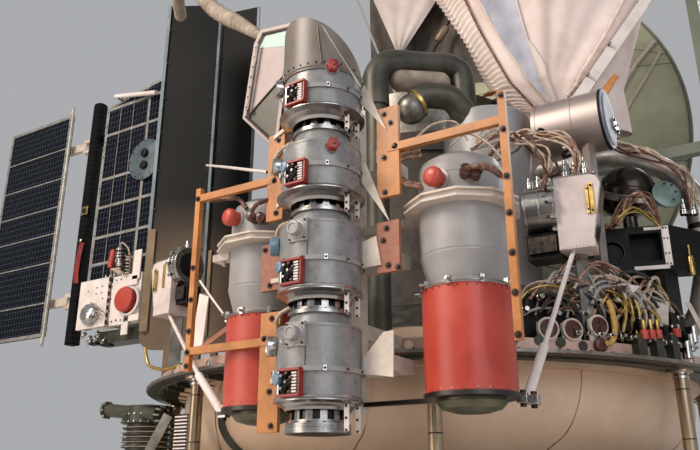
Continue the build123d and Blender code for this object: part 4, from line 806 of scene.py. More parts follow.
def cluster_details():
    """Instruments on the left wing: perforated white box, silver dome, red cap, connectors and brackets."""
    face = instrument_face
    holes = [(x, face - 3, z)
             for x, z in ((-2310, 1350), (-2230, 1362), (-2180, 1366), (-2232, 1322), (-2184, 1324),
                          (-2335, 1190), (-2168, 1284), (-2270, 1270))]
    rows = [(x, face + 19, z)
            for x, z in ((-2118, 1200), (-2118, 1280), (-2118, 1360), (-2080, 1395), (-2040, 1395),
                         (-2090, 1130), (-2050, 1135), (-2010, 1132))]
    piece("cluster_plates", [
        (white_enamel, block(262, 20, 316), (-2260, face + 8, 1262)),
        (white_enamel, block(255, 100, 316), (-1985, face + 70, 1262)),
        (black_paint, disc(5, 2, 10), holes, (0, -1, 0)),
        (black_paint, disc(6, 2, 10), rows, (0, -1, 0)),
        (dark_steel, block(14, 14, 26), [(-2132, face + 8, z) for z in range(1130, 1420, 46)]),
        (white_enamel, block(64, 8, 190), (-1898, face + 10, 1470)),
        (white_enamel, block(96, 8, 60), (-1930, face + 10, 1370)),
        (white_enamel, block(56, 8, 120), (-1950, face + 4, 1092)),
        (white_enamel, block(130, 8, 40), (-1900, face + 4, 1130)),
        (dark_olive, block(426, 120, 78), (-2048, face + 110, 1046))
    ], "inner_wing_left", bevel=3)

    dome = turned([(74, 0), (74, 20), (70, 30), (56, 46), (34, 56), (12, 60), (0, 61)], 8, 0.5)
    cap = turned([(92, 0), (92, 20), (86, 26), (80, 26)], 36)
    red = turned([(79, 0), (79, 46), (73, 54), (52, 58), (0, 59)], 32)
    lugs = [(-2200 + 10 * i, face - 14, 1150 + 22 * (i % 4)) for i in range(7)]
    plug = turned([(26, 0), (30, 8), (30, 30), (24, 34), (24, 48), (34, 50), (34, 86), (28, 92),
                   (28, 120), (0, 122)], 20)
    rings = joined([band(33, 36, z, 5, 20, 3) for z in (59, 77, 101)])
    small = [(-2190 + 26 * (i % 9), face + 30 + 12 * (i % 3), 1404 + 16 * (i // 9)) for i in range(18)]
    low = [(-2330 + 34 * i, face + 30 + 18 * (i % 2), 1086 - 24 * (i % 3)) for i in range(6)]
    piece("cluster_fittings", [
        (bright_metal, dome, (-2255, face - 2, 1190), (0, -1, 0.15)),
        (turned_steel, peg(10, 0, 92, 10), (-2262, face - 30, 1180), (1, -0.3, -0.25)),
        (white_enamel, cap, (-1930, face + 14, 1238), (0, -1, 0)),
        (red_enamel, red, (-1944, face + 14, 1246), (0, -1, 0)),
        (bright_metal, turned([(7, 0), (7, 26), (4, 28), (4, 40), (0, 40)], 8), lugs, (0.3, -1, 0.2)),
        (bright_metal, plug, (-2085, face + 40, 1490), (0.1, -0.2, 1)),
        (dark_steel, rings, (-2085, face + 40, 1490), (0.1, -0.2, 1)),
        (brass, turned([(13, -70), (15, -60), (15, 0), (0, 0)], 12),
         (-2085, face + 40, 1490), (0.05, -0.1, 1)),
        (red_enamel, turned([(17, -62), (20, -50), (20, 50), (14, 60), (0, 62)], 14),
         (-2158, face + 30, 1553), (0.12, 0, 1)),
        (bright_metal, turned([(9, 0), (9, 18), (5, 22), (5, 32), (0, 32)], 8), small, (0.2, -0.5, 1)),
        (bright_metal, turned([(13, 0), (13, 24), (8, 30), (8, 46), (0, 46)], 10), low, (0, -0.8, -1)),
        (black_paint, block(70, 40, 16), [(-2240, face + 40, 1010), (-2130, face + 44, 992)])
    ], "inner_wing_left", bevel=0.8)

    # Coiled cable from the plug down to the box, and loose braids
    turn = np.linspace(0, 2 * np.pi * 7, 90)
    coil = np.stack([-1990 + 15 * np.cos(turn), face + 20 + 15 * np.sin(turn), 1550 - turn * 3.4], -1)
    cables = [tube(coil, 4.5, 6, 1),
              tube([(-2088, -160, 1610), (-2060, -180, 1640), (-2010, -170, 1600), (-1992, -165, 1550)],
                   5, 6)]
    cables += [tube([(-2150 + 30 * i, -150, 1425), (-2120 + 22 * i, -190, 1470), (-2070 + 12 * i, -180, 1440),
                     (-2040 + 8 * i, -150, 1418)], 5, 6) for i in range(4)]
    piece("cluster_cables", [(pale_braid, joined(cables))], "inner_wing_left")


cover_sections = np.array([(903, -155, 200, 70, 1650), (815, -225, 290, 140, 1860),
                           (786, -230, 493, 210, 2372), (770, -200, 400, 190, 2960)], float)
cover_turn = radians(31.5)


def cover(s, z, lift=0.0, back=1.0):
    """Cover's surface: centre(z) + half width(z) s along the width + half depth(z) sqrt(1 - s^2) forward.
    Folds fan out from the tie as 9 sin(9p + 1) + 6 sin(17p + 2) + 3 sin(31p) of the angle p about it."""
    x, y, wide, deep = [np.interp(z, cover_sections[:, 4], column) for column in cover_sections[:, :4].T]
    along, ahead = s * wide, back * deep * np.sqrt(np.maximum(1 - s * s, 0))
    angle, reach = np.arctan2(along + 110, z - 1700), np.hypot(along + 110, z - 1700)
    fold = 9 * np.sin(9 * angle + 1) + 6 * np.sin(17 * angle + 2) + 3 * np.sin(31 * angle)
    fold *= np.minimum(reach / 500, 1)
    ahead = ahead + back * (lift + fold * np.sqrt(np.maximum(1 - s * s, 0)))
    c, d = np.cos(cover_turn), np.sin(cover_turn)
    return np.stack([x + c * along + d * ahead, y + d * along - c * ahead, z + 0 * s], -1)


def cover_strip(left, right, lift, rows=60, columns=14, frill=0.0, frills=1):
    """Patch of the cover between two curves of (s, z) knots; at the share v down and u across it ripples by
    frill sin(2 pi frills v + 3u) (1.2 - u)."""
    left, right = [spline(k, rows // (len(k) - 1)) for k in (left, right)]
    rows = min(len(left), len(right))
    across = np.linspace(0, 1, columns)[None, :]
    s, z = [left[:rows, None, i] * (1 - across) + right[:rows, None, i] * across for i in (0, 1)]
    down = np.linspace(0, 1, rows)[:, None]
    ripple = frill * np.sin(2 * np.pi * frills * down + 3 * across) * (1.2 - across)
    return grid(cover(s, z, lift + ripple))


def cloth_cover():
    """Draped cover in place of its CAD solid: body, pleated margin, lobes, seams, hem and ties."""
    angle = (np.linspace(-0.25, 1.75, 240) * np.pi)[None, :] - 0.28 * np.pi
    z = np.concatenate([np.linspace(1652, 2950, 90), [2958, 2962]])[:, None]
    s, back = np.cos(angle) + 0 * z, np.where(np.sin(angle) + 0 * z >= 0, 1.0, -1.0)
    body = cover(s, z + 0 * s, back=back)
    middle = body[-1].mean(0)
    top = np.stack([middle + (body[-1] - middle) * k + (0, 0, 4) for k in (0.8, 0.5, 0.2, 0.01)])
    cloth = piece("cover_cloth", [(pink_cloth, grid(np.concatenate([body, top])))], crease=180)
    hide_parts("fabric_cover")

    seam = [(-0.86, 2420), (-0.88, 2302), (-0.89, 2121), (-0.87, 1936), (-0.84, 1768), (-0.87, 1690)]
    lobe_left = [(-0.8, 2420), (-0.77, 2280), (-0.73, 2068), (-0.62, 1880), (-0.57, 1760), (-0.6, 1720)]
    lobe_right = [(-0.42, 2420), (-0.43, 2245), (-0.44, 2024), (-0.43, 1860), (-0.5, 1762), (-0.55, 1722)]
    margin = cover_strip([(-1.09, 2420), (-1.07, 2276), (-1.05, 2104), (-1.1, 1940), (-1.1, 1830),
                          (-0.9, 1690)], seam, 14, rows=240, columns=10, frill=7, frills=34)
    margin = piece("cover_margin", [(white_cloth, margin)], crease=180)
    lobe = piece("cover_lobe", [(lobe_cloth_and_shade, cover_strip(lobe_left, lobe_right, 9, frill=3, frills=9))],
                 crease=180)
    panel = cover_strip([(-0.44, 2040), (-0.43, 1900), (-0.5, 1790), (-0.55, 1740)],
                        [(-0.43, 2040), (-0.32, 1900), (-0.38, 1790), (-0.46, 1740)], 12)
    panel = piece("cover_panel", [(white_cloth, panel)], crease=180)
    curves = []
    for knots, lift, radius in ((seam, 18, 5), (lobe_left, 11, 3), (lobe_right, 12, 3)):
        line = spline(knots, 12)
        curves.append(tube(cover(line[:, 0], line[:, 1], lift), radius, 6, 2, 0.3, 2))
    hem = spline([(0.72, 2330), (0.71, 2271), (0.5, 2051), (0.15, 1856), (-0.2, 1775), (-0.32, 1752)], 16)
    fold = cover(hem[:, 0], hem[:, 1], 12)
    curves.append(tube(fold, 9, 8, 2, 0.25, 9))
    seams = piece("cover_seams", [(seam_braid, curves[0]), (white_cloth, joined(curves[1:]))], crease=180)
    ties = [tube([cover(np.array(a), np.array(b), 14) for a, b in knots], 4, 6)
            for knots in ([(-0.34, 1752), (-0.2, 1742), (-0.05, 1760), (0.05, 1745)],
                          [(-0.36, 1750), (-0.3, 1722), (-0.22, 1712)],
                          [(-0.38, 1748), (-0.42, 1715), (-0.4, 1690)])]
    ties = piece("cover_ties", [(dark_braid, joined(ties))])

    # Second cloth: a triangle whose y ripples by 14 sin(7u) (1 - v) + 6 sin(19u + 2v)
    u, v = np.meshgrid(np.linspace(0, 1, 30), np.linspace(0, 1, 30))
    a, b, c = np.array((-50, -500, 2620)), np.array((420, -440, 2560)), np.array((132, -506, 2120))
    flat = a + (b - a) * u[..., None] + (c - a - (b - a) * u[..., None]) * v[..., None]
    flat[..., 1] += 14 * np.sin(7 * u) * (1 - v) + 6 * np.sin(19 * u + 2 * v)
    second = piece("second_cloth", [(shaded_cloth, grid(flat))], crease=180)

    # Dark blanket behind both, down to the deck, also standing in as painted shade where the dish would show
    # between the cloths: y = -395 + 10 sin(x / 38) + 6 sin(x / 17 + z / 160)
    across, z = np.meshgrid(np.linspace(-80, 520, 40), np.linspace(1930, 2640, 30))
    flat = np.stack([across, -395 + 10 * np.sin(across / 38) + 6 * np.sin(across / 17 + z / 160), z], -1)
    blanket_and_shade = piece("dark_sheet", [(dark_blanket, grid(flat))], crease=180)
    rods = [tube([(-160, -500, 2700), (26, -500, 2159), (110, -500, 1925)], 6, 8),
            tube([(440, -470, 2330), (345, -470, 2190), (285, -475, 2080), (220, -480, 1930)], 8, 8)]
    fitting = turned([(16, -40), (20, -30), (20, 30), (12, 44), (0, 46)], 12)
    piece("cover_rods", [
        (grey_enamel, rods[0]),
        (dark_steel, rods[1]),
        (brass_brown, fitting, (350, -470, 2196), (0.65, 0, 0.8))
    ])


def brace_details():
    """Clamps with bolts on the square white brace, and the orange wedge and plate beside it."""
    a, b = np.array((700.0, -525, 1345)), np.array((1404.0, -25, 2560))
    axis = (b - a) / np.linalg.norm(b - a)
    places = a + (b - a) * np.array((0.39, 0.52, 0.75))[:, None]
    turn = rotation(axis)
    lugs = np.concatenate([places + (turn @ (x, y, 0)) for x, y in ((34, 22), (-34, 22))])
    piece("brace_clamps", [
        (pale_primer, block(54, 54, 10), places, axis),
        (bright_metal, peg(6, -9, 9, 8), lugs, axis),
        (orange_enamel,
         slab([(1012, -352, 1745), (1048, -348, 1728), (1100, -350, 1796), (1084, -352, 1815)], 8)),
        (orange_enamel, block(46, 60, 6), (614, -600, 1733), (-0.2, -0.3, 1))
    ], bevel=1.5)


def baffle_details():
    """Seal ring, hoops and plates of the baffle, its dished lid, and the bulb's band, ribs and port."""
    ring = turned([(112, -4), (121, -4), (121, 5), (112, 5)], 48)
    hoops = joined([band(117.2, 120, h, 4, 48) for h in (12, 150)])
    piece("baffle_trim", [
        (black_paint, ring, (1076, baffle_y, baffle_z), (1, 0, 0)),
        (brushed_steel, hoops, (815, baffle_y, baffle_z), (1, 0, 0)),
        (bright_metal, block(60, 20, 70), (1050, -488, baffle_z)),
        (red_enamel, slab([(790, -626, 1475), (803, -626, 1475), (803, -626, 1600), (790, -626, 1600)], 20)),
        (white_enamel, block(26, 110, 6), (935, -640, 1366)),
        (white_enamel, turned([(0, 0), (26, 0), (12, 60), (0, 62)], 3), (935, -610, 1366), (0, 0, -1))
    ], bevel=1.0)
    dish = turned([(0, 0), (104, 0), (104, 3), (96, 5), (70, 3), (0, 1.5)], 48)
    piece("lid_trim", [
        (lid_coat, dish, (1087, baffle_y, baffle_z), (1, 0, 0)),
        (bright_metal, block(10, 80, 40), (1092, -530, baffle_z)),
        (dark_steel, disc(7, 5, 10), [(1097, y, z) for y in (-560, -505) for z in (1470, 1496)], (1, 0, 0))
    ], "lid", bevel=1.0)

    ribs = joined([bead(103, 105.5, z, 3, 36) for z in (52, -52)])
    port = turned([(52, -7), (60, -6), (60, 6), (52, 8), (30, 10), (0, 10)], 28)
    screws = [(port_place[0] + 36 * np.cos(a), -272, port_place[2] + 44 * np.sin(a))
              for a in np.radians(np.arange(8) * 45)]
    piece("bulb_trim", [
        (turned_steel, band(114, 118, 0, 16, 40, 2), bulb_place, bulb_axis),
        (dark_steel, ribs, bulb_place, bulb_axis),
        (sea_green, port, port_place, port_axis),
        (dark_steel, disc(5, 4, 8), screws, port_axis)
    ], bevel=0.8)


def harness():
    """Cable bundles and plugs on the right, scattered about their lines, and braids of the drums."""
    def bundle(knots, count, spread, radius, seed):
        random = np.random.default_rng(seed)
        knots = np.array(knots, float)
        offsets = random.normal(0, spread, (count, len(knots), 3))
        offsets[:, 0] *= 0.5
        return joined([tube(knots + shift, radius * random.uniform(0.6, 1.0), 6, 7, 0.14, 2)
                       for shift in offsets])
    front = [(640, -900, 1350), (720, -860, 1396), (811, -850, 1391), (888, -850, 1355), (966, -850, 1319),
             (1011, -840, 1264), (991, -830, 1196)]
    side = [(700, -930, 1250), (761, -900, 1320), (806, -900, 1342), (866, -900, 1295), (922, -890, 1227),
            (880, -880, 1150)]
    back = [(940, -520, 1400), (1020, -400, 1481), (1076, -250, 1509), (1169, -245, 1455), (1279, -240, 1339),
            (1292, -240, 1200)]
    loop = [(1000, -560, 1080), (1030, -440, 1105), (1080, -420, 1200), (1120, -415, 1232),
            (1160, -400, 1200), (1170, -380, 1120), (1160, -340, 1100)]
    coil = [(1054, -573, 1065), (1075, -540, 1110), (1120, -500, 1140), (1163, -440, 1129),
            (1180, -400, 1090)]
    piece("harness_bundles", [
        (copper_braid, bundle(front, 3, 11, 6, 1)),
        (pale_braid, bundle(front, 6, 17, 5, 2)),
        (pale_braid, bundle(side, 3, 14, 6, 3)),
        (brown_braid, bundle(side, 4, 22, 6, 8)),
        (pale_braid, bundle(back, 7, 11, 5, 4)),
        (brown_braid, bundle(back, 3, 14, 5, 5)),
        (copper_braid, bundle(loop, 5, 10, 6, 6)),
        (brown_braid, bundle(loop, 3, 14, 6, 11)),
        (brass, bundle(coil, 5, 9, 5, 7))
    ], crease=60)
    plug = turned([(17, 0), (17, 20), (13, 24), (13, 44), (9, 48), (9, 66), (0, 66)], 14)
    places = [(975, -770, 1196), (1005, -745, 1196), (950, -800, 1196), (1012, -650, 1196),
              (1292, -236, 1165), (1258, -236, 1172)]
    piece("harness_plugs", [
        (bright_metal, plug, places, (0, 0, 1)),
        (black_paint, band(22, 25, 0, 7, 16), [(867, -790, 1396), (960, -775, 1300)],
         [(0.85, 0, -0.5), (0.3, 0, -1)])
    ], bevel=0.8)

    # Braids that loop from the drums' left knobs to the bottle's collar and behind the drums
    paths = [[(330, -1590, 1180), (262, -1600, 1150), (225, -1590, 1090), (205, -1560, 1000),
              (190, -1500, 905)],
             [(335, -1600, 900), (290, -1620, 885), (262, -1600, 840), (258, -1560, 780)],
             [(335, -1600, 640), (285, -1610, 610), (262, -1580, 560), (255, -1560, 500)]]
    piece("drum_braids", [(pale_braid, joined([tube(path, 6, 7, 8, 0.12, 2) for path in paths]))])


def rim_details():
    """Connectors, plugs, boxes, lip, hoses and cables along the rim's web."""
    places, out = on_cylinder(bus_axis, web_radius + 1, (38.1, 42.0, 45.5, 49.2), (596, 595, 591, 582))
    parts = [(dark_olive, turned([(0, 0), (17, 0), (17, 3), (0, 3)], 20), places, out)]
    places, out = on_cylinder(bus_axis, web_radius + 4, (43.6, 47.6, 52.3, 52.1), (634, 635, 654, 588))
    ring = turned([(31, -16), (38, -14), (38, 3), (31, 3)], 30)
    face = turned([(31, -14), (30, 8), (24, 8), (22, 3), (8, 3), (6, 6), (0, 6)], 26)
    pins = np.concatenate([places[:3] + 4 * out[:3] + (0, 0, z) for z in (-14, 0, 14)])
    parts += [
        (pale_primer, ring, places[:3], out[:3]),
        (pale_primer, block(70, 96, 6), places[:3] - (0, 0, 26) - 12 * out[:3], out[:3]),
        (bakelite, face, places[:3], out[:3]),
        (bakelite, turned([(23, -10), (24, 12), (15, 16), (0, 14)], 20), places[3:], out[3:]),
        (dark_steel, disc(3, 4, 8), pins, np.tile(out[:3], (3, 1)))]
    places, out = on_cylinder(bus_axis, web_radius + 28, (60.2, 61.8, 63.4, 68.4), (636, 640, 644, 662))
    box, out = on_cylinder(bus_axis, web_radius + 14, (59.5, 63.5, 67.5), (590, 596, 606))
    parts += [
        (red_enamel, turned([(13, -18), (14, -14), (14, 12), (9, 16), (0, 16)], 12), places),
        (brass, turned([(6, 14), (8, 20), (8, 48), (4, 54), (0, 54)], 8), places[:3]),
        (dark_olive, block(40, 92, 34), box, out)]
    places, out = on_cylinder(bus_axis, web_radius + 8, np.arange(48, 76, 2.0), 622)
    parts.append((bright_metal, turned([(9, -10), (9, 12), (6, 14), (6, 30), (0, 30)], 8), places, out))
    places, out = on_cylinder(bus_axis, web_radius - 12, np.arange(49, 78, 3.1), 668)
    parts.append((black_paint, block(28, 40, 26), places, out))
    places, out = on_cylinder(bus_axis, web_radius, (72, 73.6, 75.2), (610, 640, 676))
    lip = on_cylinder(bus_axis, rim_radius + 2, np.linspace(-60, 140, 200), 550)[0]
    parts += [
        (dark_steel, block(60, 20, 20), places, out, 90),
        (bright_metal, turned([(13, -30), (13, 30), (9, 34), (0, 34)], 12), places + 16 * out),
        (dull_aluminium, carried(lip, flat_bar(2, 5)))]
    places, out = on_cylinder(bus_axis, rim_radius - 18, np.arange(-58, 120, 3.7), 557)
    parts.append((dark_steel, disc(5, 5, 6), places))
    piece("rim_fittings", parts, bevel=0.8)
    hose = tube([(1032, -720, 745), (1044, -740, 700), (1046, -742, 640), (1036, -760, 600),
                 (1014, -776, 590)], 10, 10, 8, 0.08, 2)
    cables = [tube([(1060 + 14 * i, -690 + 40 * i, 640), (1075 + 14 * i, -670 + 40 * i, 720),
                    (1060 + 12 * i, -640 + 30 * i, 800)], 6, 6) for i in range(6)]
    piece("rim_hoses", [(yellow_hose, hose), (brass, joined(cables[:3])), (pale_braid, joined(cables[3:]))])

    # Dark boxes, pale brackets and crowded cables above the rim
    places, out = on_cylinder(bus_axis, web_radius - 72, np.arange(36, 78, 5.3), 690)
    parts = [(black_paint, block(150, 110, 40), places, out, 90)]
    heights = np.tile((660, 700, 745, 690), 4)
    places, out = on_cylinder(bus_axis, web_radius - 40, np.arange(38, 79, 2.6), heights)
    parts += [
        (bright_metal, turned([(13, -10), (13, 18), (9, 22), (9, 40), (0, 40)], 10), places, out),
        (white_enamel, slab([(1020, -640, 790), (1068, -620, 765), (1120, -600, 815), (1025, -640, 840)], 4))]
    for corners in (
            [(1110, -470, 720), (1170, -430, 700), (1180, -420, 790), (1100, -470, 800)],
            [(1258, -300, 690), (1275, -290, 690), (1240, -310, 800), (1225, -330, 800)],
            [(1256, -300, 690), (1268, -290, 690), (1292, -290, 800), (1280, -300, 800)]):
        parts.append((pale_primer, slab(corners, 4)))
    piece("rim_boxes", parts, bevel=1.5)
    random = np.random.default_rng(9)
    coats_used, bundles = (pale_braid, copper_braid, brown_braid, brass, dark_braid, grey_enamel), {}
    for index in range(54):
        start = random.uniform(38, 66)
        angles = start + np.array((0, 2, 5, 9, 12)) * random.uniform(0.5, 1.5)
        heights = random.uniform(640, 800) + np.array((0, 60, 75, 50, -20)) * random.uniform(0.4, 1.3)
        path, outward = on_cylinder(bus_axis, web_radius - 30, angles, heights)
        path += outward * random.uniform(-14, 18, (5, 1))
        bundles.setdefault(index % 6, []).append(tube(path, random.uniform(3.5, 7), 6, 6, 0.12, 2))
    piece("rim_cables", [(coats_used[index], joined(shapes)) for index, shapes in bundles.items()], crease=60)


def torus_line(places, lift=1.0):
    """Points on the hull: (r sin a, -r cos a, height + t sin b) for t = tube + lift, r = ring + t cos b."""
    a, b = np.radians(spline(places, 10)).T
    ring, tall = hull_ring + (hull_tube + lift) * np.cos(b), hull_height + (hull_tube + lift) * np.sin(b)
    return np.stack([ring * np.sin(a), -ring * np.cos(a), tall], -1)


def hull_details():
    """Seams and strap of the hull, ribs under the rim, collars of the posts, fins of pot and stand."""
    seams = [carried(torus_line([(a + 1.5, 60), (a, 22), (a - 3, -28), (a - 6, -48), (a - 10, -80)]),
                     flat_bar(1.54, 1.2)) for a in range(-127, 233, 36)]
    piece("hull_seams", [(post_metal, joined(seams))])
    strap = carried(torus_line([(-15, 4), (-18, -20), (-16, -45), (-12, -70)], 4), flat_bar(21, 1.8))
    piece("hull_strap", [(dark_olive, strap)])
    # Ribs and a thin sheet under the rim in dark olive: painted shade of the rim's underside
    places = on_cylinder(bus_axis, web_radius - 62, np.arange(-80, 24, 6.5), 531)[0]
    piece("rim_ribs", [
        (dark_olive, block(6, 150, 22), places),
        (dark_olive, turned([(1150, 543), (rim_radius - 2, 543), (rim_radius - 2, 541), (1150, 541)], 160)),
        (dark_olive, turned([(1150, 543), (1150, 526), (1156, 526), (1156, 543)], 120)),
        (dark_olive, turned([(r + web_radius, z) for r, z in ((0, 543), (0, 534), (6, 534), (6, 543))], 120))
    ], bevel=1.0)

    places = on_cylinder(bus_axis, post_ring, 26 + 45 * np.arange(8), 0)[0]
    collar = joined([band(24.2, 29, z, 5, 24) for z in (512, 122, 60)])
    groove = joined([bead(24.1, 25.2, z, 2, 24) for z in (470, 300, 180)])
    cap = turned([(24, 520), (30, 524), (30, 536), (18, 541), (9, 541), (9, 543), (0, 543)], 20)
    piece("post_collars", [
        (bright_metal, collar, places),
        (dark_steel, groove, places),
        (bright_metal, cap, places)
    ])

    x, y = pot_reach * level_axes(pot_angle)[1][:2]
    fins = joined([bead(pot_radius - 10, pot_radius - 0.5, z, 2, 36) for z in range(60, 424, 22)])
    parts = [(pale_primer, fins, (x, y, 0))]
    for z in (470, 436):
        places, out = on_cylinder((x, y), pot_radius, np.arange(24) * 15, z)
        parts.append((bright_metal, peg(5, 0, 5, 6, 1), places, out))
    parts.append((dull_aluminium, turned([(60, 510), (60, 514), (30, 520), (0, 520)], 28), (x, y, 0)))
    piece("pot_fins", parts)
    strap = [(-400, -1330, 386), (-430, -1336, 330), (-470, -1340, 262), (-510, -1340, 180),
             (-530, -1330, 60), (-530, -1320, 4)]
    pipe = turned([(30, 0), (40, 2), (40, 14), (31, 16), (31, 344), (40, 346), (40, 358),
                   (30, 360), (0, 360)], 24)
    bolts = [(x, -790 + 36 * np.cos(a), z + 36 * np.sin(a)) for x, z in ((-1346, 500), (-986, 459))
             for a in np.arange(8) * 0.785]
    piece("stand_fins", [
        (white_enamel, block(62, 50, 5), [(-505, -1130, 400 - 13 * k) for k in range(14)]),
        (dark_steel, block(56, 34, 190), (-505, -1124, 316)),
        (dull_aluminium, carried(spline(strap), flat_bar(17, 3))),
        (dark_olive, pipe, (-1343, -790, 500), (355, 0, -41)),
        (bright_metal, disc(6, 26, 8), bolts, (0.99, 0, -0.11))
    ])


def hood_details():
    """Trim of the hood and the cowl, and the hose: radius 30 (1 + 0.07 cos(2 pi k / 5)) at its sample k,
    narrowed to 0.3 of that at its front end."""
    x, y = drum_axis
    corners = np.array([(x - 350.5, 1330), (x - 317.5, 1606), (x - 293.5, 1647), (x - 163.5, 1629),
                        (x - 194.5, 1426), (x - 219.5, 1195)])
    front = -1577
    edge = np.array([(corners[0][0] + 12, front - 2, corners[0][1] + 20),
                     (corners[1][0] + 12, front - 2, corners[1][1] - 6)])
    dots = edge[0] + (edge[1] - edge[0]) * np.linspace(0.05, 0.95, 7)[:, None] + (-6, -2, 0)
    low = [(corners[0][0] + 4, front - 3, corners[0][1] - 2), (corners[5][0], front - 3, corners[5][1])]
    piece("hood_trim", [
        (dull_aluminium, tube([edge[0], edge.mean(0), edge[1]], 5, 8)),
        (dark_steel, disc(3, 3, 8), dots, (0, -1, 0)),
        (dark_steel, tube([low[0], np.mean(low, 0), low[1]], 3, 6)),
        (hood_enamel,
         slab([(100, -1566, 1345), (238, -1566, 1450), (258, -1566, 1560), (128, -1566, 1592)], 5)),
        (sea_green,
         slab([(128, -1566, 1592), (258, -1566, 1560), (268, -1566, 1622), (152, -1566, 1636)], 5)),
        (dark_olive, slab([(96, -1560, 1335), (228, -1560, 1200), (250, -1560, 1290), (240, -1560, 1452)], 5))
    ], bevel=0.6)

    seam = [(496, -1738, 1452), (503, -1737, 1390), (511, -1735, 1324)]
    rod = [(520, -1752, 1446), (570, -1736, 1344), (628, -1704, 1222)]
    places, out = on_cylinder(drum_axis, cowl_radius + 0.2, np.arange(-84, 86, 12), 1330)
    piece("cowl_trim", [
        (cowl_paint, bead(cowl_radius, cowl_radius + 2.6, 1318, 3, 64), (x, y, 0)),
        (dark_steel, tube(seam, 2.4, 6)),
        (dull_aluminium, tube(rod, 3.4, 8)),
        (dark_steel, disc(3, 2.5, 8), places, out)
    ])

    path = spline([(170, -1540, 1636), (130, -1520, 1655), (90, -1502, 1689), (-27, -1492, 1792),
                   (-167, -1484, 1911), (-291, -1478, 2066), (-520, -1330, 2300), (-800, -1080, 2460),
                   (-960, -900, 2520)], 30)
    steps = np.arange(len(path))
    swell = (1 + 0.07 * np.cos(steps * 2 * np.pi / 5)) * np.clip(0.3 + 0.7 * (steps - 40) / 60, 0.3, 1)
    piece("pleated_hose", [(tan_cloth, carried(path, 30 * circle(16), swell))])


def shield_details():
    """Edge strips and rivets of the two shields, and the thin rods, plates and pipe on the left."""
    for name, centre, near, far, bottom, top in (
            ("front_shield", -60.3, 1130, 1438, 792, 2800),
            ("rear_shield", -77.5, 1005, 1270, 840, 3000)):
        side, out = level_axes(centre)
        rows = [out * r + side * 12 + (0, 0, z) for r in (far - 24, near + 24)
                for z in np.arange(bottom + 80, top - 20, 220)]
        parts = [(dark_steel, turned([(0, 0), (5, 0), (4, 2), (0, 3)], 8), rows, side)]
        for r, low, high, width, coat in (
                (far - 6, 1420, top, 18, edge_strip),
                (far - 20, bottom + 90, 1420, 40, brass_brown),
                (near + 4, bottom, top, 14, edge_strip)):
            corners = [out * (r + reach) + side * 15 + (0, 0, z)
                       for reach, z in ((width / 2, low), (-width / 2, low), (-width / 2, high),
                                        (width / 2, high))]
            parts.append((coat, slab(corners, 5)))
        piece(name + "_rivets", parts)
    rods = [tube([(208, -1588, 1095), (-400, -1090, 1440), (-960, -622, 1757)], 6, 10),
            tube([(-180, -1450, 822), (-120, -1450, 752), (-43, -1450, 667)], 4, 8)]
    piece("frame_rods", [(white_enamel, joined(rods))])
    piece("side_plates", [
        (white_enamel,
         slab([(-345, -1300, 610), (-290, -1300, 610), (-272, -1300, 810), (-318, -1300, 828)], 6)),
        (terracotta, carried([(-230, -1400, 580), (-150, -1400, 620), (-80, -1400, 655)], flat_bar(9, 4)))
    ], bevel=1.0)
    pipe = tube([(-790, -1100, 700), (-775, -1100, 655), (-745, -1105, 618), (-660, -1110, 598),
                 (-560, -1115, 608)], 7, 10)
    piece("side_pipe", [(brass, pipe)])


def dish_details():
    """Rings and struts on the dish: y = back + R - sqrt(R^2 - x^2 - (z - height)^2) - lift."""
    def on_dish(x, z, lift):
        height = np.sqrt(dish_sphere ** 2 - x ** 2 - (z - dish_height) ** 2)
        return np.stack([x, dish_back + dish_sphere - height - lift, z], -1)
    a, rings = np.linspace(0, 2 * np.pi, 97), []
    for radius, thick in ((1238, 9), (860, 6), (430, 6)):
        rings.append(tube(on_dish(radius * np.cos(a), dish_height + radius * np.sin(a), 2), thick, 6, 1))
    knots = [[(913, 2329), (1012, 2495), (1120, 2642)], [(918, 2180), (1073, 2433), (1140, 2560)]]
    arcs = []
    for places, radius in zip(knots, (12, 7)):
        x, z = spline(places, 8).T
        arcs.append(tube(on_dish(x, z, radius), radius, 8, 1))
    piece("dish_rings", [(green_grey, joined(rings)), (pale_primer, joined(arcs))])


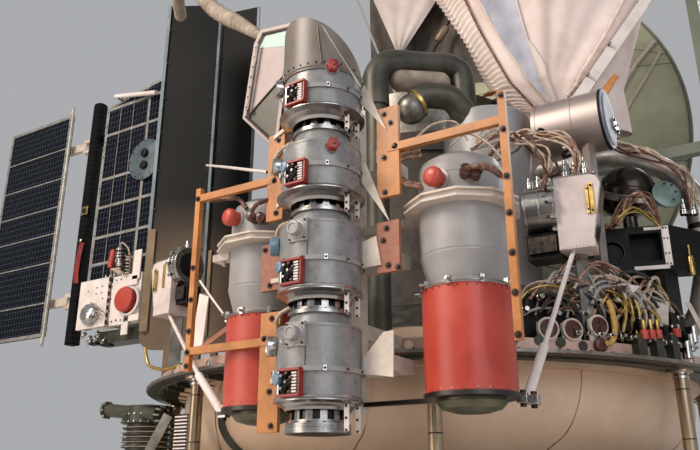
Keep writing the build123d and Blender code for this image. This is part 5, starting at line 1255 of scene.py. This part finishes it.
def duct_details():
    """Bands, olive skins and grey ball of the ducts."""
    piece("duct_bands", [
        (brass, band(56, 63, 0, 8, 32), (410, -886, 1612), (0.7, 0.42, 0.55)),
        (olive_metal, band(46.2, 49, 0, 6, 28), [(261.4, -962.1, 1640), (516.2, -666.2, 1700)]),
        (tan_cloth, band(46.2, 52, 0, 16, 28, 2), (1240, -124, 1385), (0.6, 0, -0.8)),
        (dark_steel, band(46.2, 50, 0, 12, 28), [(1297, -105, 1150), (1297, -100, 1050)])
    ])
    arch = spline([(261.4, -962.1, 1600), (261.4, -962.1, 1740), (290, -929, 1800), (340, -871, 1825),
                   (400, -801, 1838), (455, -737, 1852), (495, -691, 1846), (516.2, -666.2, 1800),
                   (516.2, -666.2, 1600)], 12)
    elbow = spline([(576, -700, 1480), (566, -740, 1560), (530, -810, 1628), (480, -845, 1646),
                    (429, -878, 1640), (400, -893, 1604)], 12)
    skins = joined([carried(arch, 54 * circle(24)), carried(elbow, 52 * circle(24))])
    piece("duct_skins", [(olive_metal, skins)])
    ball = turned([(62 * np.sin(t), -62 * np.cos(t)) for t in np.linspace(0, np.pi, 15)], 28)
    piece("duct_ball", [(dull_aluminium, ball, (388.4, -900.1, 1585))])


drum_details()
frame_details()
bottle_details()
tracker_details()
camera_details()
wing_details()
cluster_details()
cloth_cover()
brace_details()
baffle_details()
harness()
rim_details()
hull_details()
hood_details()
shield_details()
dish_details()
duct_details()

camera = bpy.data.objects.new("camera", bpy.data.cameras.new("camera"))
camera.data.lens = camera_lens
camera.data.sensor_width = 36.0
camera.location = camera_place
camera.rotation_euler = (radians(camera_tilt), 0, radians(camera_turn))
bpy.context.scene.collection.objects.link(camera)
bpy.context.scene.camera = camera

floor_mesh = bpy.data.meshes.new("floor")
floor_mesh.from_pydata([(-40, -40, 0), (40, -40, 0), (40, 40, 0), (-40, 40, 0)], [], [(0, 1, 2, 3)])
floor = bpy.data.objects.new("floor", floor_mesh)
floor_mesh.materials.append(finish("floor", "#d5d3d0 #dad8d5", 2000, 100, 0.1, 0.0, 0.8))
bpy.context.scene.collection.objects.link(floor)

world = bpy.data.worlds.new("studio")
bpy.context.scene.world = world
world.use_nodes = True
world.node_tree.nodes["Background"].inputs["Color"].default_value = (0.8, 0.82, 0.85, 1)
world.node_tree.nodes["Background"].inputs["Strength"].default_value = 0.5


def lamp(name, place, target, size, power, colour):
    """Square area light that looks at a point."""
    light = bpy.data.lights.new(name, "AREA")
    light.energy = power
    light.size = size
    light.color = linear(colour)[:3]
    obj = bpy.data.objects.new(name, light)
    obj.location = place
    obj.rotation_euler = (Vector(target) - Vector(place)).to_track_quat("-Z", "Y").to_euler()
    bpy.context.scene.collection.objects.link(obj)


lamp("key", (-1.8, -5.5, 4.6), (0.4, -1.0, 1.0), 2.4, 330, "#fff3e6")
lamp("fill", (4.5, -4.5, 2.6), (0.5, -0.8, 1.0), 3.5, 92, "#eef4ff")
lamp("low", (-3.0, -6.0, 1.3), (0.0, -1.0, 0.7), 3.0, 84, "#fff0e4")
lamp("back", (2.0, 5.0, 5.0), (0.0, 0.0, 1.5), 3.0, 220, "#ffffff")

bpy.context.scene.view_settings.view_transform = "Standard"
